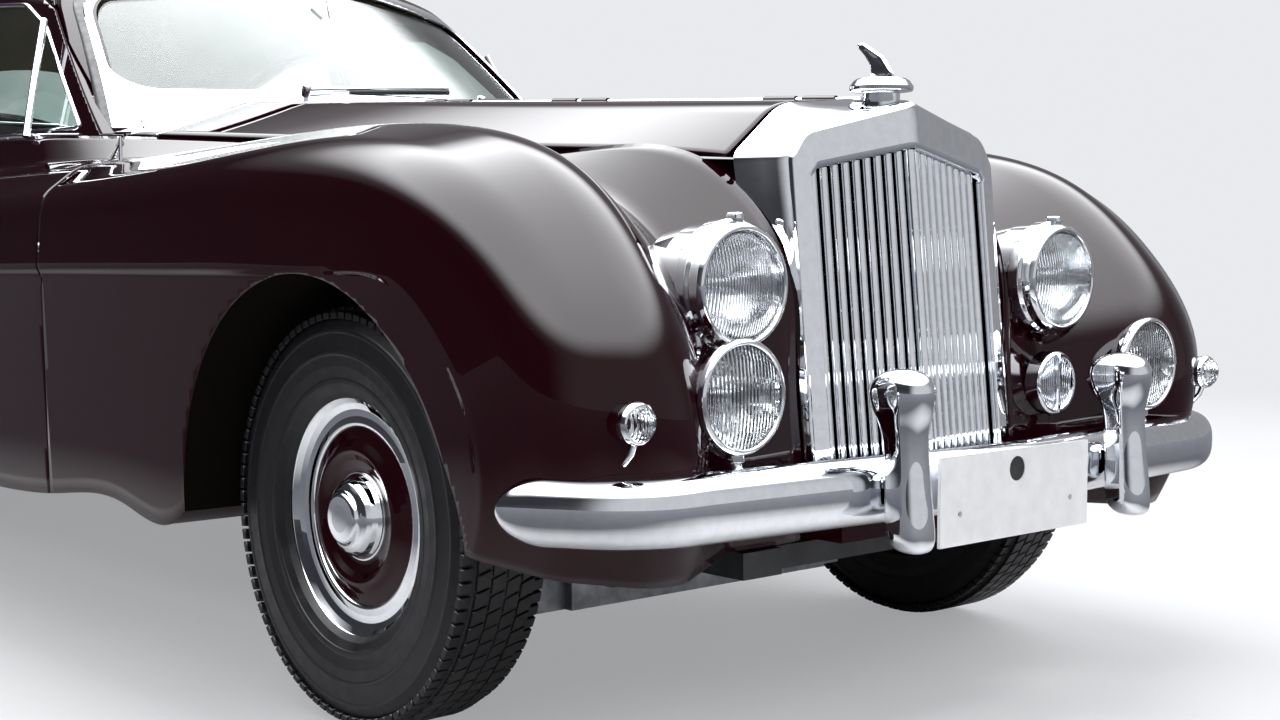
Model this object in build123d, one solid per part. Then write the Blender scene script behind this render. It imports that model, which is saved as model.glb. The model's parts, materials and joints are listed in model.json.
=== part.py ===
from build123d import *
from collections import namedtuple
import math
import os

# main sizes of the car in millimetres; d is always the distance ahead of the front axle
overall_length = 5245.0
overall_width = 1816.0
wheelbase = 3048.0
front_overhang = 870.0
front_track = 1440.0
rear_track = 1486.0
tyre_radius = 365.0
tyre_width = 173.0
rim_radius = 205.0
rim_width = 132.0
arch_radius = 420.0
wing_well_y = 400.0
rear_well_y = 640.0
hub_cap_radius = 74.5
trim_ring_radius = 223.0
spindle_radius = 22.0
kingpin_radius = 12.0
kingpin_offset = 60.0
running_clearance = 0.05
shut_gap = 7.0

# rails and floor
rail_y = 345.0
rail_width = 90.0
rail_bottom = 225.0
rail_top = 330.0
floor_thickness = 20.0
front_rail_bottom = 285.0
jacking_pad_bottom = 211.0

# bonnet, hinged along its centre line
bonnet_front_d = 443.0
bonnet_rear_d = -990.0
bonnet_slope = -0.051
bonnet_height = 1115.8
bonnet_skin = 14.0
bonnet_rod_radius = 5.0
bonnet_knuckle_radius = 8.0
bonnet_hinge_gap = 14.0

# doors
door_front_d = -1024.0
door_rear_d = -2250.0
door_inner_y = 690.0
door_pin_d = -952.0
door_pin_y = 845.0
door_pin_radius = 8.0
door_sweep_radius = 85.0
glass_thickness = 6.0
pillar_width = 46.0

# roof and tail
roof_skin = 40.0
rail_round = 150.0
crown_round = 900.0
boot_front_d = -3700.0
boot_rear_d = -4180.0
boot_half_width = 330.0
boot_tail_half_width = 250.0
boot_pin_d = -3622.0
boot_pin_radius = 8.0
boot_pin_depth = 78.0
boot_gap = 9.0
boot_sweep_radius = 92.0

# wing nose: sections turn about a level line across the car
pivot_d = 100.0
pivot_z = 420.0
nose_core = 250.0
valley_round = 45.0
swage_round = 60.0

# radiator
shell_half_width = 268.0
shell_back_half_width = 322.0
shell_back_top = 1112.0
shell_bottom = 415.0
shell_top = 1088.0
shell_depth = 130.0
shell_front_d = 650.0
shell_lean = 5.8
slat_half_width = 221.0
slat_bottom = 480.0
slat_top = 1005.0
slat_count = 9
slat_radius = 8.0
grille_v_depth = 37.0
slat_recess = 34.0

# lamps: ahead of the axle, from the centre line, height, radius
headlamp = (600.0, 426.0, 769.0, 108.0)
fog_lamp = (715.0, 542.0, 606.0, 88.0)
side_lamp = (716.0, 750.0, 580.0, 35.0)
horn_grille = (606.0, 405.0, 570.0, 60.0)

# bumpers and plates
bumper_half_width = 898.0
bumper_bottom = 392.0
bumper_top = 500.0
bumper_thickness = 12.0
overrider_y = 296.0
plate_width = 400.0
plate_height = 146.0
plate_hole_radius = 21.0

front_axle_x = overall_length / 2 - front_overhang
tail_d = front_overhang - overall_length
axle_z = tyre_radius
half_width = overall_width / 2
wheel_y = front_track / 2
rear_wheel_y = rear_track / 2
kingpin_y = wheel_y - kingpin_offset
floor_top = rail_top + floor_thickness

# side of the body: edge (bonnet seam or belt), valley, wing crest, shoulder, swage, lower lip
Flank = namedtuple("Flank", "d inner_y edge_y edge_z valley_y valley_z crest_y crest_z "
                          "shoulder_y shoulder_z swage_y swage_z lip_y lip_z round")
# nose rows hold a turn angle in place of d and reaches from the pivot line in place of heights
nose_rows = [
    Flank(-10, 262, 275, 470, 430, 470, 645, 580, 790, 475, 846, 335, 848, nose_core, 110),
    Flank(0, 262, 275, 480, 430, 476, 655, 614, 803, 508, 853, 360, 855, nose_core, 120),
    Flank(20, 264, 280, 500, 430, 482, 662, 665, 842, 568, 872, 400, 872, nose_core, 130),
    Flank(40, 272, 292, 592, 430, 492, 652, 652, 855, 575, 880, 400, 878, nose_core, 130),
    Flank(62, 300, 335, 636, 440, 510, 645, 640, 868, 570, 886, 400, 882, nose_core, 130),
]
side_rows = [
    Flank(100, 372, 388, 1000, 455, 948, 640, 1045, 876, 988, 888, 790, 884, 670, 130),
    Flank(-250, 374, 452, 1018, 522, 975, 680, 1046, 881, 985, 891, 786, 888, 520, 120),
    Flank(-430, 376, 495, 1028, 565, 988, 710, 1034, 883, 972, 891, 784, 880, 330, 110),
    Flank(-700, 480, 562, 1044, 625, 1002, 752, 1016, 885, 950, 891, 781, 873, 322, 100),
    Flank(-1020, 630, 656, 1062, 712, 1010, 792, 996, 887, 926, 892, 777, 868, 305, 95),
    Flank(-1500, 690, 742, 1078, 775, 1005, 825, 972, 890, 896, 895, 770, 866, 285, 95),
    Flank(-2000, 690, 752, 1076, 790, 985, 835, 942, 894, 870, 898, 766, 866, 285, 95),
    Flank(-2350, 690, 750, 1070, 795, 966, 840, 928, 899, 868, 903, 762, 870, 290, 95),
    Flank(-2700, 650, 742, 1060, 800, 952, 848, 938, 905, 882, 907, 758, 876, 300, 95),
    Flank(-3048, 600, 715, 1042, 770, 940, 848, 965, half_width, 905, half_width, 752, 880, 330, 65),
    Flank(-3500, 560, 640, 985, 715, 915, 800, 960, 897, 895, 901, 735, 872, 350, 75),
    Flank(-3900, 480, 545, 895, 640, 850, 735, 905, 850, 840, 862, 705, 835, 385, 95),
    Flank(-4180, 400, 455, 800, 540, 765, 650, 820, 760, 765, 776, 665, 742, 420, 80),
    Flank(-4290, 340, 400, 735, 470, 706, 560, 750, 645, 706, 668, 640, 632, 440, 60),
]
# upper body: cant rail and centre of the roof, its top point before rounding
Roof = namedtuple("Roof", "d rail_y rail_z crown_z")
roof_rows = [
    Roof(-1000, 524, 1376, 1470),
    Roof(-1300, 552, 1432, 1532),
    Roof(-1700, 576, 1482, 1588),
    Roof(-2100, 590, 1514, 1622),
    Roof(-2600, 578, 1478, 1588),
    Roof(-3050, 525, 1372, 1488),
    Roof(-3500, 445, 1194, 1312),
    Roof(-3900, 360, 1012, 1118),
    Roof(-4180, 290, 862, 938),
    Roof(-4290, 250, 775, 836),
]
# windscreen: height, centre line d, half width, corner d
Screen = namedtuple("Screen", "z centre_d half_y corner_d")
screen_rows = [
    Screen(1100, -905, 655, -1215),
    Screen(1320, -1190, 595, -1445),
    Screen(1580, -1580, 520, -1790),
]


def shape_at(rows, d, name):
    rows = sorted(rows, key=lambda row: row.d)
    for low, high in zip(rows, rows[1:]):
        if low.d <= d <= high.d:
            part = (d - low.d) / (high.d - low.d)
            return getattr(low, name) + part * (getattr(high, name) - getattr(low, name))
    return getattr(rows[0] if d < rows[0].d else rows[-1], name)


def box(d_low, d_high, y_low, y_high, z_low, z_high):
    size = Box(d_high - d_low, y_high - y_low, z_high - z_low)
    return Pos((d_low + d_high) / 2, (y_low + y_high) / 2, (z_low + z_high) / 2) * size


def rod_x(d, y, z, radius, length):
    return Pos(d, y, z) * Rot(0, 90, 0) * Cylinder(radius, length)


def rod_y(d, y, z, radius, length):
    return Pos(d, y, z) * Rot(90, 0, 0) * Cylinder(radius, length)


def rod_z(d, y, z, radius, length):
    return Pos(d, y, z) * Cylinder(radius, length)


def bar(start, end, radius):
    start, end = Vector(*start), Vector(*end)
    plane = Plane(origin=start, z_dir=end - start)
    return extrude(plane * Circle(radius), (end - start).length)


def mirrored(shape):
    return mirror(shape, about=Plane.XZ)


def side_prism(points, y_low, y_high, grow=0.0):
    outline = make_face(Polyline(*points, close=True))
    if grow:
        outline = offset(outline, grow, kind=Kind.INTERSECTION)
    plane = Plane(origin=(0, y_low, 0), x_dir=(1, 0, 0), z_dir=(0, -1, 0))
    return extrude(plane * outline, y_high - y_low, dir=(0, 1, 0))


def plan_prism(points, z_low, z_high, grow=0.0):
    outline = make_face(Polyline(*points, close=True))
    if grow:
        outline = offset(outline, grow, kind=Kind.INTERSECTION)
    return extrude(Pos(0, 0, z_low) * outline, z_high - z_low, dir=(0, 0, 1))


# side block of the body, right through from nose to tail on the left
def side_face(row, turned):
    angle = math.radians(row.d if turned else 90.0)
    base = 0.0 if turned else pivot_z
    points = [(row.edge_y, row.edge_z - base), (row.valley_y, row.valley_z - base),
              (row.crest_y, row.crest_z - base), (row.shoulder_y, row.shoulder_z - base),
              (row.swage_y, row.swage_z - base), (row.lip_y, row.lip_z - base),
              (row.inner_y, row.lip_z - base), (row.inner_y, row.edge_z - base)]
    radii = [0, valley_round, row.round, row.round, swage_round, 0, 0, 0]
    outline = FilletPolyline(*points, radius=radii, close=True)
    spoke = Vector(math.cos(angle), 0, math.sin(angle))
    origin = (pivot_d if turned else row.d, 0, pivot_z)
    plane = Plane(origin=origin, x_dir=(0, 1, 0), z_dir=Vector(0, 1, 0).cross(spoke))
    return plane * make_face(outline)


side_block = loft([side_face(row, True) for row in nose_rows] + [side_face(row, False) for row in side_rows])


# upper body: a closed solid at a given depth under the outer skin
def roof_solid(depth, drop):
    faces = []
    for row in roof_rows:
        belt_y = shape_at(side_rows, row.d, "edge_y") - 1.07 * depth
        belt_z = shape_at(side_rows, row.d, "edge_z")
        rail_half, rail_z = row.rail_y - 0.82 * depth, row.rail_z - 0.57 * depth
        rounding = min(rail_round, 0.55 * (row.rail_z - belt_z)) - 0.45 * depth
        points = [(belt_y, belt_z - drop), (belt_y, belt_z), (rail_half, rail_z), (0, row.crown_z - depth),
                  (-rail_half, rail_z), (-belt_y, belt_z), (-belt_y, belt_z - drop)]
        radii = [0, 0, max(rounding, 2.0), crown_round, max(rounding, 2.0), 0, 0]
        outline = FilletPolyline(*points, radius=radii, close=True)
        plane = Plane(origin=(row.d, 0, 0), x_dir=(0, 1, 0), z_dir=(1, 0, 0))
        faces.append(plane * make_face(outline))
    return loft(faces)


roof_outer = roof_solid(0.0, 4.0)
roof_strip = roof_outer - roof_solid(roof_skin, 60.0)
glass_strip = roof_solid(12.0, 40.0) - roof_solid(12.0 + glass_thickness, 60.0)


# windscreen slab, level curved slices between two depths behind the outer face
def screen_slab(front, back, extra_y, z_low, z_high):
    faces = []
    for row in screen_rows:
        half = row.half_y + extra_y
        bow = row.centre_d - row.corner_d
        radius = (row.half_y ** 2 + bow ** 2) / (2 * bow)
        bow = radius - math.sqrt(radius ** 2 - half ** 2)
        outer = ThreePointArc((row.centre_d - bow - front, -half), (row.centre_d - front, 0), (row.centre_d - bow - front, half))
        inner = ThreePointArc((row.centre_d - bow - back, -half), (row.centre_d - back, 0), (row.centre_d - bow - back, half))
        sides = [Line(outer @ 0, inner @ 0), Line(outer @ 1, inner @ 1)]
        faces.append(Pos(0, 0, row.z) * make_face([outer, inner] + sides))
    return loft(faces) & box(-2200, 600, -900, 900, z_low, z_high)


# door opening seen from the side, with the cylinder its rear edge swings in
door_outline = [(-1062, 200), (door_front_d, 780), (-1036, 1000), (-1092, 1078), (-1175, 1080),
                (-1590, 1402), (-1740, 1462), (-2000, 1482), (-2180, 1478), (door_rear_d, 1440), (door_rear_d, 200)]
window_outline = [(-1262, 1092), (-1598, 1352), (-1748, 1420), (-2000, 1440), (-2165, 1436), (-2190, 1092)]
quarter_outline = [(-2330, 1092), (-2300, 1428), (-2560, 1408), (-2840, 1330), (-3060, 1200), (-3090, 1096)]


def door_room(grow):
    sweep = door_pin_d - door_rear_d + grow
    return side_prism(door_outline, 400, 1000, grow) & rod_z(door_pin_d, door_pin_y, 900, sweep, 1800)


half_gap = shut_gap / 2
door_opening = door_room(half_gap)
door_hinge_heights = (480.0, 800.0)
arm_height = 36.0
door_blank = door_room(-half_gap)
door_lower = (side_block & door_blank) - box(-3000, 0, 0, door_inner_y, 0, 1400)
# scooped front edge, so that the wing's rear corner stays clear while the door swings
low_scoop = Pos(door_pin_d, door_pin_y, 465) * Cone(door_sweep_radius + 37.5, door_sweep_radius, 630)
high_scoop = Pos(door_pin_d, door_pin_y, 890) * Cone(door_sweep_radius, door_sweep_radius + 10, 220)
top_scoop = rod_z(door_pin_d, door_pin_y, 1050, door_sweep_radius + 10, 100)
door_lower = door_lower - low_scoop - high_scoop - top_scoop
door_frame = (roof_strip & door_blank) - side_prism(window_outline, 400, 1000)
door_frame = door_frame - door_lower
door_left = door_lower + door_frame
for height in door_hinge_heights:
    knuckle = rod_z(door_pin_d, door_pin_y, height, 14.0, arm_height)
    arm = box(door_pin_d - 12, door_pin_d + 12, door_pin_y - 88, door_pin_y, height - 18, height + 18)
    reach = box(door_pin_d - 120, door_pin_d + 12, door_pin_y - 100, door_pin_y - 76, height - 18, height + 18)
    bore = rod_z(door_pin_d, door_pin_y, height, door_pin_radius + running_clearance, arm_height + 4)
    door_left = door_left + ((knuckle + arm + reach) - bore)
door_glass_left = glass_strip & side_prism(window_outline, 400, 1000)

# radiator shell and slats, drawn upright and leaned back about the foot
lean = Pos(shell_front_d, 0, shell_bottom) * Rot(0, -shell_lean, 0) * Pos(-shell_front_d, 0, -shell_bottom)
shell_plane = Plane(origin=(shell_front_d, 0, 0), x_dir=(0, 1, 0), z_dir=(1, 0, 0))


def mouth_outline():
    points = [(-slat_half_width, slat_bottom), (-slat_half_width, slat_top - 38), (0, slat_top),
              (slat_half_width, slat_top - 38), (slat_half_width, slat_bottom)]
    return make_face(FilletPolyline(*points, radius=[0, 40, 80, 40, 0], close=True))


def shell_outline(foot, half, side_z, upper, upper_z, top, bends):
    points = [(foot, shell_bottom), (half, side_z), (upper, upper_z), (0, top),
              (-upper, upper_z), (-half, side_z), (-foot, shell_bottom)]
    radii = [0, bends[0], bends[1], 180, bends[1], bends[0], 0]
    return make_face(FilletPolyline(*points, radius=radii, close=True))


# the shell flares from its front to the bonnet's outline, and its front is a shallow vee in plan
front_outline = shell_outline(shell_half_width, shell_half_width, 990, 236, 1036, shell_top, (40, 40))
back_outline = shell_outline(shell_half_width + 6, shell_back_half_width, 1002, 200, 1094, shell_back_top, (30, 120))
shell_solid = loft([Pos(-shell_depth, 0, 0) * (shell_plane * back_outline), shell_plane * front_outline])
vee_drop = grille_v_depth * 400 / slat_half_width
shell_vee = plan_prism([(shell_front_d, 0), (shell_front_d + 40, 0), (shell_front_d + 40, 400),
                        (shell_front_d - vee_drop, 400)], 300, 1200)
shell_solid = shell_solid - shell_vee - mirrored(shell_vee)
shell_mouth = extrude(shell_plane * mouth_outline(), -shell_depth - 10)
radiator_shell = lean * (shell_solid - shell_mouth)
shell_envelope = lean * shell_solid
slat_step = slat_half_width / (slat_count + 0.5)
core_front = shell_front_d - 92
comb = [(core_front - 36, slat_half_width), (core_front - 36, -slat_half_width), (core_front, -slat_half_width)]
comb_radii = [0, 0, 0]
for index in range(-slat_count, slat_count + 1):
    tip = shell_front_d - slat_recess - grille_v_depth * abs(index) / slat_count + (6 if index == 0 else 0)
    low, high = index * slat_step - slat_radius, index * slat_step + slat_radius
    comb = comb + [(core_front, low), (tip, low), (tip, high), (core_front, high)]
    comb_radii = comb_radii + [0, slat_radius - 1, slat_radius - 1, 0]
comb = comb + [(core_front, slat_half_width)]
comb_radii = comb_radii + [0]
comb_face = make_face(FilletPolyline(*comb, radius=comb_radii, close=True))
comb_solid = extrude(Pos(0, 0, slat_bottom) * comb_face, slat_top - slat_bottom, dir=(0, 0, 1))
mouth_room = Pos(60, 0, 0) * extrude(shell_plane * mouth_outline(), -shell_depth - 60)
radiator_grille = lean * (comb_solid & mouth_room)
cap_place = (508.0, 0.0, 1088.0)
cap_neck = rod_z(cap_place[0], 0, cap_place[2], 34, 60)
cap_top = Pos(cap_place[0], 0, cap_place[2] + 26) * Cone(57, 44, 24)
cap_fin = fillet(box(cap_place[0] - 40, cap_place[0] + 40, -7, 7, cap_place[2] + 36, cap_place[2] + 78).edges(), 5)
radiator_cap = (cap_neck + cap_top + cap_fin) - shell_envelope

# lamps on the left; each one is let into the panel behind it
lamp_d, lamp_y, lamp_z, lamp_r = headlamp
headlamp_left = rod_x(lamp_d - 55, lamp_y, lamp_z, lamp_r, 90) + rod_x(lamp_d - 6, lamp_y, lamp_z, lamp_r - 6, 12)
headlamp_left = headlamp_left + rod_x(lamp_d - 130, lamp_y, lamp_z, lamp_r - 22, 70)
lens_disc = rod_x(lamp_d + 7, lamp_y, lamp_z, lamp_r - 18, 14)
headlamp_lens_left = fillet(lens_disc.edges().sort_by(Axis.X)[-1:], 10)
fog_d, fog_y, fog_z, fog_r = fog_lamp
fog_bowl = Pos(fog_d - 30, fog_y, fog_z) * Sphere(fog_r) & box(fog_d - 62, fog_d - 30, 0, 900, 0, 1200)
fog_lamp_left = fog_bowl + rod_x(fog_d - 15, fog_y, fog_z, fog_r, 30)
side_d, side_y, side_z, side_r = side_lamp
side_lamp_left = rod_x(side_d - 50, side_y, side_z, side_r, 100) + Pos(side_d, side_y, side_z) * Sphere(side_r - 2)
horn_d, horn_y, horn_z, horn_r = horn_grille
horn_grille_left = rod_x(horn_d - 24, horn_y, horn_z, horn_r, 30)
horn_grille_left = horn_grille_left - rod_x(horn_d - 10, horn_y, horn_z, horn_r - 9, 12)
for index in range(-3, 4):
    rib = rod_z(horn_d - 14, horn_y + index * 15, horn_z, 4.0, 2 * math.sqrt((horn_r - 5) ** 2 - (index * 15) ** 2))
    horn_grille_left = horn_grille_left + rib

# front wing: block ahead of the door, less the wheel's well, the lamps and the door's hinge pockets
wing_cut = box(door_rear_d - 3000, 0, 0, 1000, 0, 1400) & side_prism(
    [(-1062, 200), (door_front_d, 780), (-1036, 1000), (-1060, 1200), (-5000, 1200), (-5000, 200)], 0, 1000, half_gap)
front_wing_left = side_block - wing_cut - rod_y(0, wing_well_y + 300, axle_z, arch_radius, 600)
front_wing_left = front_wing_left - shell_envelope - headlamp_left - side_lamp_left - horn_grille_left - fog_lamp_left
front_wing_left = front_wing_left - box(-1100, -700, 0, door_inner_y - 60, 0, 1030)
for height in door_hinge_heights:
    pocket = box(door_pin_d - 140, door_pin_d + 34, door_pin_y - 130, door_pin_y + 19, height - 26, height + 26)
    pin = rod_z(door_pin_d, door_pin_y, height, door_pin_radius, 52)
    front_wing_left = front_wing_left - pocket + pin

# bonnet leaf on the left of the hinge rod
bonnet_stations = [bonnet_front_d, 260.0, 100.0, -250.0, -600.0, bonnet_rear_d]
seam_rows = [Flank(446, 0, 324, 976, *[0] * 11), Flank(300, 0, 352, 990, *[0] * 11)] + side_rows


def bonnet_face(d, inset):
    centre_z = bonnet_height + bonnet_slope * d
    seam_y = shape_at(seam_rows, d, "edge_y") - 2
    seam_z = shape_at(seam_rows, d, "edge_z") + 6
    points = [(bonnet_hinge_gap, centre_z), (0.62 * seam_y, centre_z - 16), (seam_y, seam_z),
              (seam_y - bonnet_skin, seam_z), (0.62 * seam_y - 6, centre_z - 16 - bonnet_skin),
              (bonnet_hinge_gap, centre_z - bonnet_skin)]
    outline = FilletPolyline(*points, radius=[0, inset + bonnet_skin, 0, 0, inset, 0], close=True)
    plane = Plane(origin=(d, 0, 0), x_dir=(0, 1, 0), z_dir=(1, 0, 0))
    return plane * make_face(outline)


bonnet_left = loft([bonnet_face(d, 120.0) for d in bonnet_stations])


def bonnet_room_face(d):
    centre_z = bonnet_height + bonnet_slope * d + 40
    seam_y = shape_at(seam_rows, d, "edge_y") + 4
    seam_z = shape_at(seam_rows, d, "edge_z")
    points = [(0, seam_z - 2), (0, centre_z), (0.62 * seam_y, centre_z), (seam_y, seam_z + 8), (seam_y, seam_z - 2)]
    plane = Plane(origin=(d, 0, 0), x_dir=(0, 1, 0), z_dir=(1, 0, 0))
    return plane * make_face(Polyline(*points, close=True))


front_wing_left = front_wing_left - loft([bonnet_room_face(d) for d in bonnet_stations], ruled=True)
hinge_tilt = math.degrees(math.atan(-bonnet_slope))


def along_hinge(d_low, d_high, radius):
    middle = (d_low + d_high) / 2
    length = (d_high - d_low) / math.cos(math.radians(hinge_tilt))
    return Pos(middle, 0, bonnet_height + bonnet_slope * middle) * Rot(0, 90 + hinge_tilt, 0) * Cylinder(radius, length)


bonnet_rod = along_hinge(bonnet_rear_d - 24, bonnet_front_d + 22, bonnet_rod_radius)
radiator_shell = radiator_shell - bonnet_rod
hinge_bore = along_hinge(-1100, 600, bonnet_rod_radius + running_clearance)
knuckles = {1: [(320, 400), (-320, -240), (-900, -820)], -1: [(220, 300), (-420, -340), (-800, -720)]}


def with_knuckles(leaf, sign):
    for low, high in knuckles[sign]:
        middle = (low + high) / 2
        height = bonnet_height + bonnet_slope * middle
        reach = sign * (bonnet_hinge_gap + 12)
        tab = Pos(middle, reach / 2, height - 5) * Rot(0, hinge_tilt, 0) * Box(high - low, abs(reach), 6)
        leaf = leaf + (along_hinge(low, high, bonnet_knuckle_radius) + tab)
    return leaf - hinge_bore


bonnet_right = with_knuckles(mirrored(bonnet_left), -1)
bonnet_left = with_knuckles(bonnet_left, 1)


# scuttle behind the bonnet, then the windscreen and its frame with the screen pillars
def scuttle_face(d, inset):
    centre_z = min(bonnet_height + bonnet_slope * d, 1172)
    half = shape_at(side_rows, d, "edge_y") - inset
    edge = shape_at(side_rows, d, "edge_z") + 4
    points = [(-half, edge), (-0.62 * half, centre_z - 16), (0, centre_z), (0.62 * half, centre_z - 16),
              (half, edge), (half, 1010), (-half, 1010)]
    outline = FilletPolyline(*points, radius=[0, 120, 600, 120, 0, 0, 0], close=True)
    return Plane(origin=(d, 0, 0), x_dir=(0, 1, 0), z_dir=(1, 0, 0)) * make_face(outline)


scuttle_block = loft([scuttle_face(d, 4.0) for d in (-996.0, -1022.0)])
scuttle_block = scuttle_block + loft([scuttle_face(d, 52.0) for d in (-1022.0, -1110.0, -1220.0, -1330.0)])
screen_room = roof_solid(pillar_width, 300.0)
screen_ring = screen_slab(0, 42, 60, 1112, 1580) - (screen_slab(-20, 80, -8, 1182, 1580) & screen_room)
screen_frame = (screen_ring & roof_solid(0.0, 300.0)) - door_opening - mirrored(door_opening)
screen_frame = screen_frame - scuttle_block - bonnet_rod - box(-996, 0, -1000, 1000, 1000, 1400)
screen_frame = screen_frame.solids().sort_by(SortBy.VOLUME)[-1]
windscreen_glass = screen_slab(16, 16 + glass_thickness, -8, 1182, 1580) & screen_room
roof_room = screen_slab(-900, 42, 100, 1100, 1580) + box(-1420, 0, -1000, 1000, 1000, 1330)
scuttle = scuttle_block - box(-1400, -1040, -640, 640, 1000, 1110) - bonnet_rod
scuttle = scuttle - front_wing_left - mirrored(front_wing_left)
scuttle = scuttle.solids().sort_by(SortBy.VOLUME)[-1]

# roof with rear quarters, less screen, doors, windows and boot opening
boot_outline = [(boot_front_d, -boot_half_width), (boot_front_d, boot_half_width),
                (boot_rear_d, boot_tail_half_width), (boot_rear_d, -boot_tail_half_width)]
rear_window = [(-3130, -360), (-3130, 360), (-3520, 300), (-3520, -300)]
roof = roof_strip - roof_room - door_opening - mirrored(door_opening)
roof = roof - side_prism(quarter_outline, 400, 1000) - side_prism(quarter_outline, -1000, -400)
roof = roof - screen_frame - windscreen_glass
roof = roof - plan_prism(rear_window, 1000, 1700) - plan_prism(boot_outline, 650, 1400, boot_gap / 2)
rear_glass = glass_strip & plan_prism(rear_window, 1000, 1700)
quarter_glass_left = glass_strip & side_prism(quarter_outline, 400, 1000)

# boot lid on goose-neck arms
boot_pin_z = shape_at(roof_rows, boot_pin_d, "crown_z") - 30 - boot_pin_depth
boot_lid = roof_strip & plan_prism(boot_outline, 650, 1400, -boot_gap / 2)
boot_lid = boot_lid - rod_y(boot_pin_d, 0, boot_pin_z, boot_sweep_radius, 2000)
boot_arm_y = 200.0
boot_arms = None
for side in (-1, 1):
    eye = rod_y(boot_pin_d, side * boot_arm_y, boot_pin_z, 14, 30)
    neck = box(boot_pin_d - 12, boot_pin_d + 12, side * boot_arm_y - 15, side * boot_arm_y + 15,
               boot_pin_z - 96, boot_pin_z)
    reach = box(boot_pin_d - 190, boot_pin_d + 12, side * boot_arm_y - 15, side * boot_arm_y + 15,
                boot_pin_z - 108, boot_pin_z - 84)
    rise = box(boot_pin_d - 190, boot_pin_d - 160, side * boot_arm_y - 15, side * boot_arm_y + 15,
               boot_pin_z - 108, boot_pin_z + 20)
    bore = rod_y(boot_pin_d, side * boot_arm_y, boot_pin_z, boot_pin_radius + running_clearance, 40)
    arms = (eye + neck + reach + rise) - bore
    boot_arms = arms if boot_arms is None else boot_arms + arms
boot_lid = boot_lid + (boot_arms & roof_outer)
boot_hinge = rod_y(boot_pin_d, 0, boot_pin_z, boot_pin_radius, 2 * boot_arm_y + 90)
for side in (-1, 1):
    lug_y = side * (boot_arm_y + 34)
    boot_hinge = boot_hinge + box(boot_pin_d - 16, boot_pin_d + 16, lug_y - 11, lug_y + 11,
                                  boot_pin_z - 16, boot_pin_z + 58)
boot_hinge = (boot_hinge - roof).solids().sort_by(SortBy.VOLUME)[-1]

# rear wing, from the door back to the tail, with the wheel's well
rear_cut = side_prism([(800, 100), (800, 1300), (-2250, 1300), (-2250, 100)], 0, 1000, half_gap)
rear_well = rod_y(-wheelbase, rear_well_y + 300, axle_z, arch_radius, 600)
rear_wing_left = side_block - rear_cut - rear_well - roof_outer
rear_wing_left = rear_wing_left - box(-wheelbase - 80, -wheelbase + 80, 500, 660, 0, 560)

tail_panel = (box(-4286, -4256, -338, 338, 400, 733) + box(-4286, -4256, -190, 190, 733, 772)) - roof

# frame, floor and running gear
chassis_frame = None
for side in (-1, 1):
    rail = box(tail_d + 120, 560, side * rail_y - rail_width / 2, side * rail_y + rail_width / 2,
               rail_bottom, rail_top)
    chassis_frame = rail if chassis_frame is None else chassis_frame + rail
for cross_d in (480.0, 0.0, -1180.0, -2300.0, -wheelbase - 480, -4160.0):
    chassis_frame = chassis_frame + box(cross_d - 45, cross_d + 45, -rail_y, rail_y, rail_bottom + 5, rail_top - 5)
for side in (-1, 1):
    pad = box(-1560, -1440, side * rail_y - 36, side * rail_y + 36, jacking_pad_bottom, rail_bottom)
    chassis_frame = chassis_frame + pad
chassis_frame = chassis_frame - box(-wheelbase - 340, -wheelbase + 340, -1000, 1000, 0, rail_top + 20)
chassis_frame = chassis_frame - box(230, 600, -500, 500, 0, front_rail_bottom)
chassis_frame = chassis_frame - front_wing_left - mirrored(front_wing_left)
for side in (-1, 1):
    rail_low, rail_high = side * rail_y - rail_width / 2, side * rail_y + rail_width / 2
    kick = box(-wheelbase - 400, -wheelbase + 400, rail_low, rail_high, 430, 510)
    for riser_d in (-wheelbase - 370, -wheelbase + 370):
        kick = kick + box(riser_d - 30, riser_d + 30, rail_low, rail_high, rail_bottom, 510)
    chassis_frame = chassis_frame + kick
floor_pan = box(-3200, -940, -600, 600, rail_top, floor_top)
floor_pan = floor_pan + box(-2240, -1060, 600, door_inner_y - 10, rail_top, floor_top)
bulkhead = box(-960, -940, -470, 470, floor_top, 1000)
boot_floor = box(-4256, -3200, -320, 320, rail_top, floor_top)
floor_pan = floor_pan + mirrored(floor_pan) + bulkhead + boot_floor - front_wing_left - mirrored(front_wing_left)
floor_pan = floor_pan - rear_wing_left - mirrored(rear_wing_left) - rear_well - mirrored(rear_well) - scuttle
floor_pan = floor_pan - box(-wheelbase - 200, -wheelbase + 200, -1000, 1000, 0, 600)
hump = box(-wheelbase - 212, -wheelbase + 212, -298, 298, rail_top, 540)
floor_pan = floor_pan + (hump - box(-wheelbase - 192, -wheelbase + 192, -400, 400, 0, 520))
floor_pan = floor_pan - chassis_frame
engine = box(-700, 180, -190, 190, rail_top - 60, 880) + box(-940, -700, -150, 150, 240, 620)
engine = engine + box(-100, 60, -300, 300, rail_top, rail_top + 60)
engine = engine - chassis_frame - floor_pan
propshaft = rod_x((-940 - wheelbase + 110) / 2, 0, 290, 38, wheelbase - 110 - 940)
propshaft = propshaft - chassis_frame
exhaust = rod_x(-2500, -200, 200, 26, 3600) + rod_x(-2000, -200, 200, 90, 700)
exhaust = exhaust + box(-1200, -1160, -226, -174, 200, 230) + box(-4180, -4140, -226, -174, 200, 230)
exhaust = exhaust - chassis_frame
fuel_tank = box(-4120, -3640, -290, 290, 180, 325) - chassis_frame - exhaust

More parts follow.
